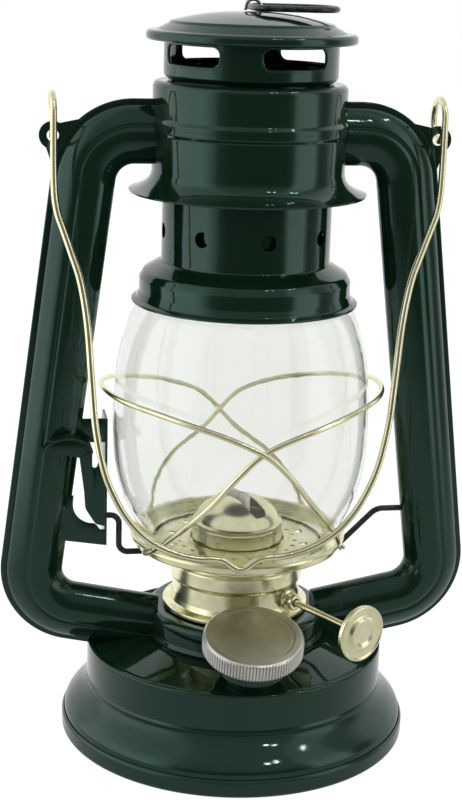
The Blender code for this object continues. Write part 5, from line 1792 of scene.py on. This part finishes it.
@dataclass
class Hood:
    """The lifting hood: bell, chimney, slotted collar, cap plate, staple and ring."""

    bell_radius: float = 0.037
    bell_rim: float = 0.1482
    bell_top: float = 0.188
    neck_radius: float = 0.0273
    neck_foot: float = 0.1615
    neck_fillets: Sequence[float] = (0.0008, 0.0012)
    skirt: Points = ((0.1, 0.97), (0.588, 0.76), (0.722, 0.586), (0.722, 0.27), (0.814, 0.105))
    skirt_fillets: Sequence[float] = (0.0016, 0.0018, 0.0016, 0.0014, 0.001)
    bell_hem: Points = ((-0.0002, 0.0006, 0.0003), (-0.0003, 0.00005))
    holes: int = 8
    hole_radius: float = 0.0025
    hole_rise: float = 0.01
    hole_bearing: float = math.radians(4.9)
    chimney: float = 0.0247
    mouth_radius: float = 0.0312
    mouth: float = 0.1519
    mouth_height: float = 0.0115
    mouth_fillet: float = 0.002
    mouth_lip: Points = ((0.0, 0.001, 0.001), (0.0, 0.0))
    vent_radius: float = 0.0276
    vent_foot: float = 0.2188
    vent_step: float = 0.0015
    vent_wall: float = 0.0009
    vent_hem: Points = ((0.0, vent_step, 0.0008), (-vent_step, 0.0, 0.0006))
    windows: Sequence[float] = (-55.0, 22.0, 125.0, 202.0)
    window_rise: float = 0.0047
    window_height: float = 0.0069
    window_half: float = math.radians(25.0)
    window_corner: float = 0.0028
    window_cutter: float = 0.01
    window_bead: float = 0.000558
    window_step: float = 0.0009
    lid_radius: float = 0.0333
    lid_rim: float = 0.2308
    lid_slope: float = 0.234
    slope_radius: float = 0.0302
    slope_fillet: float = 0.0012
    lid_shoulder: float = 0.2368
    shoulder_radius: float = 0.0255
    shoulder: Points = ((0.0, 0.0, 0.0012), (0.0008, -0.0008, 0.0008))
    brim: Points = ((0.0, 0.0031, 0.0014), (0.0, 0.0, 0.001), (-0.0012, 0.0))
    lid_top: float = 0.24
    lid_dome: Points = (
        (0.0, 0.0), (0.2, -0.00006), (0.38, -0.00034), (0.56, -0.00085), (0.72, -0.00158),
        (0.87, -0.0024))
    staple_radius: float = 0.0024
    staple_wire: float = 0.0006
    ring_height: float = 0.2413
    ring_wire: float = 0.001
    ring_length: float = 0.0262
    ring_width: float = 0.022
    ring_corner: float = 0.004
    spring_wire: float = 0.0006
    spring_turns: int = 4
    turn_steps: int = 24
    lift: float = 0.013
    chamber_top: float = 0.2185

    def build(self) -> None:
        """Build every part of the hood."""
        self.build_bell()
        self.build_chimney()
        self.build_collar()
        self.build_lid()
        self.build_ring()
        self.build_spring()

    def build_bell(self) -> None:
        """Build the bell, its ring of round holes and its rolled rim."""
        skirt = shared(self.skirt, (self.neck_radius, self.bell_rim), (self.bell_radius, self.neck_foot))
        line = rounded([
            (self.chimney + GAP, self.bell_top), (self.neck_radius, self.bell_top, self.neck_fillets[0]),
            (self.neck_radius, self.neck_foot, self.neck_fillets[1]),
            *[(*spot, fillet) for spot, fillet in zip(skirt, self.skirt_fillets)],
            *offset(self.bell_radius, self.bell_rim, self.bell_hem)], closed=False)
        tools = Form()
        for step in range(self.holes):
            angle = self.hole_bearing + math.tau * step / self.holes
            axis = Vector((math.sin(angle), -math.cos(angle), 0))
            place = axis * self.neck_radius + Vector((0, 0, self.neck_foot + self.hole_rise))
            tools.joined(Form().drum(self.hole_radius, PIERCE, 40).placed(facing(place, axis)))
        Form().turned(walled(line)).cut(tools).settle("hood_bell", "hood", ENAMEL, "bell")

    def build_chimney(self) -> None:
        """Build the inner chimney with its flared mouth on the globe."""
        top = self.vent_foot + self.window_rise - self.vent_step
        line = rounded([
            (self.chimney, top), (self.chimney, self.mouth + self.mouth_height, self.mouth_fillet),
            *offset(self.mouth_radius, self.mouth, self.mouth_lip)], closed=False)
        Form().turned(walled(line), MIDDLE_TURN).settle("inner_chimney", "hood", ENAMEL, "chimney_tube")

    def build_collar(self) -> None:
        """Build the collar with its four long windows, their edges turned in."""
        slope = (self.lid_shoulder - self.lid_slope) / (self.slope_radius - self.shoulder_radius)
        top = self.lid_slope + (self.slope_radius - self.vent_radius) * slope - SHEET - 2 * GAP
        line = rounded([
            (self.vent_radius, top), *offset(self.vent_radius, self.vent_foot, self.vent_hem),
            (self.chimney + GAP, self.vent_foot)], closed=False)
        half = self.vent_radius * math.sin(self.window_half)
        corners = oblong((-half, 0.0), (half, self.window_height), self.window_corner)
        foot = self.vent_foot + self.window_rise
        middle = self.vent_radius - self.vent_wall / 2
        rim = [
            Vector((spot.x, -math.sqrt(middle ** 2 - spot.x ** 2), foot + spot.y))
            for spot in refined(rounded(corners, steps=9), self.window_step, closed=True)]
        front = moved(0, -self.vent_radius, foot) @ UPRIGHT
        tools, rims = Form(), Form()
        for degrees in self.windows:
            turn = about_z(math.radians(degrees))
            tools.joined(Form().plate(rounded(corners), self.window_cutter).placed(turn @ front))
            rims.joined(wire_form(rim, self.window_bead, cyclic=True, sides=10).placed(turn))
        Form().turned(walled(line, self.vent_wall)).cut(tools).joined(rims).settle(
            "window_collar", "hood", ENAMEL, "slotted_collar")

    def build_lid(self) -> None:
        """Build the domed cap plate, its brim turned down."""
        dome = [(self.shoulder_radius * share, self.lid_top + drop) for share, drop in self.lid_dome]
        line = rounded([
            *dome, *offset(self.shoulder_radius, self.lid_shoulder, self.shoulder),
            (self.slope_radius, self.lid_slope, self.slope_fillet),
            *offset(self.lid_radius, self.lid_rim, self.brim)], closed=False)
        section = walled(line)
        section[-1] = Vector((0.0, self.lid_top - SHEET))
        Form().turned(section).settle("cap_plate", "hood", ENAMEL, "top_cap")

    def build_ring(self) -> None:
        """Build the staple and the lift ring through it."""
        foot = self.lid_top + GAP
        bow = [
            Vector((x, 0, self.ring_height + z))
            for x, z in arc_of(self.staple_radius, 0.0, math.pi, self.turn_steps)]
        arch = [Vector((self.staple_radius, 0, foot)), *bow, Vector((-self.staple_radius, 0, foot))]
        wire_form(arch, self.staple_wire, sides=12).settle("staple_arch", "hood", NICKEL, "ring_staple")
        half = self.ring_width / 2
        end = half - self.staple_radius + self.staple_wire
        loop = rounded([
            (0, half, self.ring_corner), (0, -half, self.ring_corner),
            (self.ring_length, -half, end), (self.ring_length, half, end)], steps=16)
        route = [Vector((*spot, self.ring_height)) for spot in loop]
        wire_form(route, self.ring_wire, cyclic=True).settle("carry_ring", "ring", DARK_WIRE, "lift_ring")

    def build_spring(self) -> None:
        """Build the coil that holds the hood down, on a mesh of its own."""
        seat = self.bell_top + GAP
        head = self.chamber_top - SHEET - GAP
        radius = (self.chimney + self.neck_radius) / 2 + self.spring_wire
        spots = arc_of(radius, 0.0, math.tau * self.spring_turns, self.spring_turns * self.turn_steps)
        foot = seat + self.spring_wire
        rise = (head - self.spring_wire - foot) / (len(spots) - 1)
        coil = [Vector((x, y, foot + rise * step)) for step, (x, y) in enumerate(spots)]
        piece = wire_form(coil, self.spring_wire, sides=10).settle(
            "hold_down_coil", "stand", SPRING, "hood_spring")
        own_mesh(piece)


@dataclass
class Chamber:
    """The air chamber: a flared skirt and a lid that meet at the seam bead."""

    radius: float = 0.0309
    skirt_radius: float = 0.0381
    foot: float = 0.184
    hem: float = 0.0001
    seam: float = 0.2045
    top: float = 0.2185
    top_fillet: float = 0.002
    chimney: float = 0.0247
    hole_lip: Points = ((GAP, -0.0004), (GAP + 0.0005, 0.0, 0.0003))
    bead_over: Points = ((0.0, 0.0026, 0.001), (0.0008, 0.00144, 0.0008), (0.0008, 0.00006))
    bead_under: Points = ((0.0008, 0.0), (0.0008, -0.00144, 0.0008), (0.0, -0.0026, 0.001))
    flare_height: float = 0.0057
    flare_bend: Points = ((0.0, 0.0006, 0.001),)
    flare: Points = (
        (0.04, 0.86), (0.1, 0.7), (0.2, 0.54), (0.34, 0.4), (0.5, 0.275), (0.66, 0.17), (0.84, 0.08))

    def build(self) -> None:
        """Build the lid and the skirt."""
        lid = rounded([
            *offset(self.chimney, self.top, self.hole_lip), (self.radius, self.top, self.top_fillet),
            *offset(self.radius, self.seam, self.bead_over)], closed=False)
        Form().turned(walled(lid)).settle("chamber_lid", "stand", ENAMEL, "chamber_top")
        flare_top = self.foot + self.flare_height
        skirt = rounded([
            *offset(self.radius, self.seam, self.bead_under),
            *offset(self.radius, flare_top, self.flare_bend),
            *shared(self.flare, (self.radius, self.foot), (self.skirt_radius, flare_top)),
            (self.skirt_radius, self.foot + self.hem)], closed=False)
        Form().turned(walled(skirt)).settle("chamber_flare", "stand", ENAMEL, "chamber_skirt")


@dataclass
class AirTubes:
    """The two side tubes with their seam fins and the bail's ears."""

    inner: float = 0.0285
    top: float = 0.2025
    top_reach: float = 0.0507
    foot_reach: float = 0.0708
    foot: float = 0.045
    foot_slope: float = math.radians(11.5)
    bend: float = 0.016
    bend_steps: int = 26
    row_length: float = 0.004
    half_width: float = 0.0086
    inner_width: float = 0.0103
    half_depth: float = 0.0068
    section: Points = (
        (0.98, 0.12), (0.955, 0.25), (0.9, 0.38), (0.8, 0.52), (0.68, 0.65), (0.56, 0.755),
        (0.45, 0.835), (0.36, 0.885), (0.3, 0.895), (0.25, 0.875), (0.2, 0.88), (0.14, 0.925),
        (0.06, 0.965), (-0.04, 0.99), (-0.16, 0.995), (-0.3, 0.97), (-0.46, 0.905), (-0.61, 0.8),
        (-0.75, 0.665), (-0.87, 0.485), (-0.94, 0.32), (-0.985, 0.15))
    fin: float = 0.0011
    fin_reach: float = 0.01018
    fin_root: float = 0.00774
    fin_fillet: float = 0.000462
    ear_thickness: float = 0.001
    ear_edge: float = 0.00022
    ear_bearing: float = math.radians(29.5)
    ear_spread: float = math.radians(21.0)
    ear_bite: float = 0.0006
    ear_standoff: float = 0.0031
    ear_radius: float = 0.0044
    ear_hole: float = 0.0019
    ear_steps: int = 28

    def route(self, side: int) -> list[Vector]:
        """Give the middle of a tube, from inside the chamber to inside the collar.

        Args:
            side: Minus one for the left tube, one for the right.

        Returns:
            The route.
        """
        drop = (self.foot_reach - self.inner) * math.tan(self.foot_slope)
        corners = [
            (side * self.inner, 0, self.top), (side * self.top_reach, 0, self.top),
            (side * self.foot_reach, 0, self.foot), (side * self.inner, 0, self.foot - drop)]
        return refined(bent(corners, [self.bend, self.bend], self.bend_steps), self.row_length)

    def elbow(self, side: int) -> Vector:
        """Give the middle of a tube's top elbow.

        Args:
            side: Minus one for the left tube, one for the right.

        Returns:
            The middle, as (x, z).
        """
        here = Vector((side * self.top_reach, self.top))
        before = (Vector((side * self.inner, self.top)) - here).normalized()
        after = (Vector((side * self.foot_reach, self.foot)) - here).normalized()
        half = before.angle(after) / 2
        return here + (before + after).normalized() * self.bend / math.sin(half)

    def build(self) -> None:
        """Build both tubes and both ears."""
        half = [
            Vector(((self.half_width if across > 0 else self.inner_width) * across, self.half_depth * depth))
            for across, depth in self.section]
        outline = flowing(
            half + [Vector((spot.x, -spot.y)) for spot in reversed(half)], steps=2, cyclic=True)
        fin = [
            (self.fin_root, self.fin / 2), (self.fin_reach, self.fin / 2, self.fin_fillet),
            (self.fin_reach, -self.fin / 2, self.fin_fillet), (self.fin_root, -self.fin / 2)]
        up = Vector((0, 0, 1))
        for side, name in SIDES:
            route = self.route(side)
            form = Form().swept(route, outline, across=up)
            form.joined(Form().swept(route, rounded(fin, steps=4), across=up))
            form.settle("side_tube_" + name, "stand", ENAMEL, "air_tube_" + name)
            self.build_ear(side, name)

    def build_ear(self, side: int, name: str) -> None:
        """Build the ear that carries one eye of the bail.

        Args:
            side: Minus one for the left ear, one for the right.
            name: The side's name.
        """
        edge = self.bend + self.fin_reach
        reach = edge + self.ear_standoff
        eye_x, eye_y = reach * math.cos(self.ear_bearing), reach * math.sin(self.ear_bearing)
        foot = arc_of(
            edge - self.ear_bite, self.ear_bearing + self.ear_spread, -2 * self.ear_spread,
            self.ear_steps)
        head = arc_of(self.ear_radius, self.ear_bearing - math.pi / 2, math.pi, self.ear_steps)
        centre = self.elbow(side)
        outline = [
            (centre.x + side * x, centre.y + y) for x, y in [*foot, *offset(eye_x, eye_y, head)]]
        hole = Form().drum(self.ear_hole, PIERCE)
        hole.placed(moved(centre.x + side * eye_x, centre.y + eye_y))
        Form().plate(outline, self.ear_thickness, self.ear_edge).cut(hole).placed(UPRIGHT).settle(
            "hinge_ear_" + name, "stand", ENAMEL, "bail_ear_" + name)


@dataclass
class Bail:
    """The carrying bail, its eyes through the ears."""

    wire: float = 0.0011
    wire_sides: int = 16
    eye: float = 0.0066
    eye_x: float = 0.0622
    eye_steps: int = 40
    opening: float = math.radians(26.0)
    hang: float = math.radians(13.8)
    drop: float = 0.1394
    notch_depth: float = 0.0034
    notch_share: float = 0.1
    lean: float = -0.0055
    pivot: float = 0.207177
    arm_points: int = 260
    shares: Points = (
        (0.15, 0.99), (0.215, 0.972), (0.262, 0.935), (0.31, 0.895), (0.375, 0.845), (0.47, 0.805),
        (0.6, 0.775), (0.7, 0.75), (0.79, 0.705), (0.85, 0.65), (0.905, 0.575), (0.95, 0.475),
        (0.98, 0.35), (0.995, 0.225))

    def build(self) -> None:
        """Build the bail as it hangs at rest."""
        shares = [(0.0, 1.0), *self.shares, (1.0, self.notch_share)]
        right = [(self.eye_x * width, self.drop * down) for down, width in shares]
        flat = [(-x, down) for x, down in right]
        flat += [(0.0, self.drop + self.notch_depth), *reversed(right)]
        leaned = [Vector((x + self.lean * down / self.drop, -self.eye, -down)) for x, down in flat]
        arms = evened(flowing(leaned, steps=14), self.arm_points)
        ring = arc_of(self.eye, 0.0, math.tau - self.opening, self.eye_steps)[1:]
        left_eye, right_eye = ([Vector((side * self.eye_x, -y, z)) for y, z in ring] for side, _ in SIDES)
        swing = moved(z=self.pivot) @ Matrix.Rotation(-self.hang, 4, "X")
        route = [swing @ spot for spot in (*reversed(left_eye), *arms, *right_eye)]
        wire_form(route, self.wire, sides=self.wire_sides).settle(
            "carrying_wire", "carrying_bail", BRASS, "bail")


@dataclass
class Lifter:
    """The crank under the globe plate, its bracket and the thumb lever."""

    crank: float = 0.0755
    throw: float = 0.013
    yoke: float = 0.0255
    wire: float = 0.001
    left: float = 0.0487
    left_bend: float = 0.04
    right_bend: float = 0.048
    right_foot: float = 0.035
    crank_bends: Sequence[float] = (0.003, 0.003, 0.003, 0.014, 0.014, 0.003, 0.006, 0.006)
    bend_steps: int = 12
    crank_bite: float = 0.002
    plate_foot: float = 0.0657
    bracket: float = 0.0008
    web_x: float = 0.0448
    web_front: float = 0.004
    web_back: float = 0.016
    web_foot: float = 0.0664
    web_top: float = 0.11
    web_fillets: Sequence[float] = (0.0015, 0.003)
    arm_lower: float = 0.0054
    arm_root: Points = ((0.0, 0.0), (-0.0014, 0.0, 0.0004), (-0.003, 0.0022, 0.002))
    arm_foot: Points = ((0.0004, 0.0024, 0.0068), (0.0012, 0.012), (-0.0035, 0.012), (-0.0035, -0.0032))
    arm_upper: float = 0.008
    arm_bite: float = 0.0035
    arm_fillet: float = 0.0008
    lever: float = 0.0008
    lever_front: float = 0.0078
    hub: float = 0.003
    hub_steps: int = 16
    blade: Points = (
        (0.0, -0.001), (0.0, 0.017, 0.004), (-0.002, 0.022, 0.0004), (-0.0042, 0.01364, 0.0008),
        (-0.0042, 0.0255, 0.0004), (-0.0084, 0.0229, 0.001), (-0.0068, 0.011, 0.003),
        (-0.0064, 0.0052, 0.0042), (-0.003, -0.0002, 0.002))
    blade_width: float = 0.0066
    stem_width: float = 0.0024
    stem_rise: float = 0.0265
    tab_reach: float = 0.0135
    tab_arch: float = 0.0048
    tab_depth: float = 0.005
    tab_fillet: float = 0.0002
    tab_steps: int = 24
    tab_web: float = 0.004

    def build(self, tubes: AirTubes) -> None:
        """Build the crank, the bracket and the lever.

        Args:
            tubes: The side tubes that carry them.
        """
        slope = (tubes.foot_reach - tubes.top_reach) / (tubes.top - tubes.foot)
        face = tubes.foot_reach - slope * (self.crank - tubes.foot) - tubes.inner_width
        self.build_crank(face)
        self.build_bracket(face)
        self.build_lever()

    def pin_hole(self) -> Form:
        """Make the tool of the hole that the crank passes through."""
        return Form().drum(self.wire + GAP, 2 * self.web_front).placed(moved(0, self.crank))

    def build_crank(self, face: float) -> None:
        """Build the bent wire that lifts the globe plate.

        Args:
            face: Where the inside of the tubes stands at the crank's height.
        """
        low = self.crank - self.throw
        under = self.plate_foot - GAP - self.wire
        corners = [
            (-self.left, 0, self.crank), (-self.left_bend, 0, self.crank), (-self.left_bend, 0, low),
            (-self.yoke, 0, low), (-self.yoke, self.yoke, under), (self.yoke, self.yoke, under),
            (self.yoke, 0, low), (self.right_foot, 0, low), (self.right_bend, 0, self.crank),
            (face + self.crank_bite, 0, self.crank)]
        wire_form(bent(corners, self.crank_bends, self.bend_steps), self.wire).settle(
            "lifting_crank", "lifter", DARK_WIRE, "crank_wire")

    def build_bracket(self, face: float) -> None:
        """Build the bracket: a web beside the globe and two arms to the tube.

        Args:
            face: Where the inside of the tubes stands at the crank's height.
        """
        low, high = self.web_foot, self.web_top - self.arm_upper
        small, large = self.web_fillets
        web = rounded([
            (-self.web_front, low), (self.web_back / 2, low, small),
            (self.web_back, self.crank, large), (self.web_back, high, large),
            (self.web_back / 2, self.web_top, small), (-self.web_front, self.web_top)])
        form = Form().plate(web, self.bracket, DEBURR).cut(self.pin_hole())
        form.placed(moved(-self.web_x) @ SIDEWAYS)
        inner = self.web_x + self.bracket / 2
        outer = face + self.arm_bite
        elbow = low + self.arm_lower
        lower = [(-inner, low), *offset(-inner, elbow, self.arm_root), *offset(-face, elbow, self.arm_foot)]
        upper = [
            (-inner, high), (-inner, self.web_top), (-outer, self.web_top, self.arm_fillet),
            (-outer, high, self.arm_fillet)]
        front = moved(0, self.bracket / 2 - self.web_front) @ UPRIGHT
        for outline in (lower, upper):
            form.joined(Form().plate(rounded(outline, steps=8), self.bracket, DEBURR).placed(front))
        form.settle("crank_bracket", "stand", ENAMEL, "lift_bracket")

    def build_lever(self) -> None:
        """Build the thumb lever: a hub on the crank, a stem, and a tab curled over at the top."""
        inner = self.web_x + self.bracket / 2 + GAP
        blade = rounded(offset(-inner, self.crank, self.blade), steps=6)
        form = Form().plate(blade, self.lever, DEBURR)
        form.placed(moved(0, -self.lever_front) @ UPRIGHT)
        hub = Form().plate([
            (-self.lever_front, self.crank),
            *offset(0.0, self.crank, arc_of(self.hub, -math.pi / 2, math.pi, self.hub_steps)),
            (-self.lever_front, self.crank + self.hub)], self.lever, DEBURR)
        hub.cut(self.pin_hole()).placed(moved(-inner - self.lever / 2) @ SIDEWAYS)
        outer = inner + self.blade_width
        stem = outer - self.stem_width
        top = self.crank + self.stem_rise
        middle = (stem + outer + self.tab_reach) / 2
        reach = middle - stem - self.lever / 2
        back = self.lever / 2 - self.lever_front
        half, depth = self.lever / 2, self.tab_depth / 2
        arc = [
            Vector((reach * x - middle, back - depth, top - 3 * half + self.tab_arch * z))
            for x, z in arc_of(1.0, 0.0, math.pi, self.tab_steps)]
        strip = rounded(oblong((-half, -depth), (half, depth), self.tab_fillet), steps=3)
        fill = [*((spot.x, spot.z) for spot in arc), (-stem - self.tab_web, top - self.tab_web)]
        web = Form().plate(fill, self.lever, DEBURR)
        web.placed(moved(0, back - half) @ UPRIGHT)
        tab = Form().swept(arc, strip, across=Vector((1, 0, 0)))
        form.joined(hub).joined(tab).joined(web)
        form.settle("thumb_lever", "lifter", ENAMEL, "lift_lever")


def main() -> None:
    """Build the studio and the lantern, and report each piece."""
    logging.basicConfig(level=logging.INFO, format="%(message)s", stream=sys.stdout)
    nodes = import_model()["nodes"]
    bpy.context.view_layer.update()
    Studio().build()
    filler = Filler()
    tubes = AirTubes()
    Tank().build(filler)
    filler.build(nodes)
    Burner().build(nodes)
    GlobeCarrier().build()
    Hood().build()
    Chamber().build()
    tubes.build()
    Bail().build()
    Lifter().build(tubes)


if __name__ == "__main__":
    main()
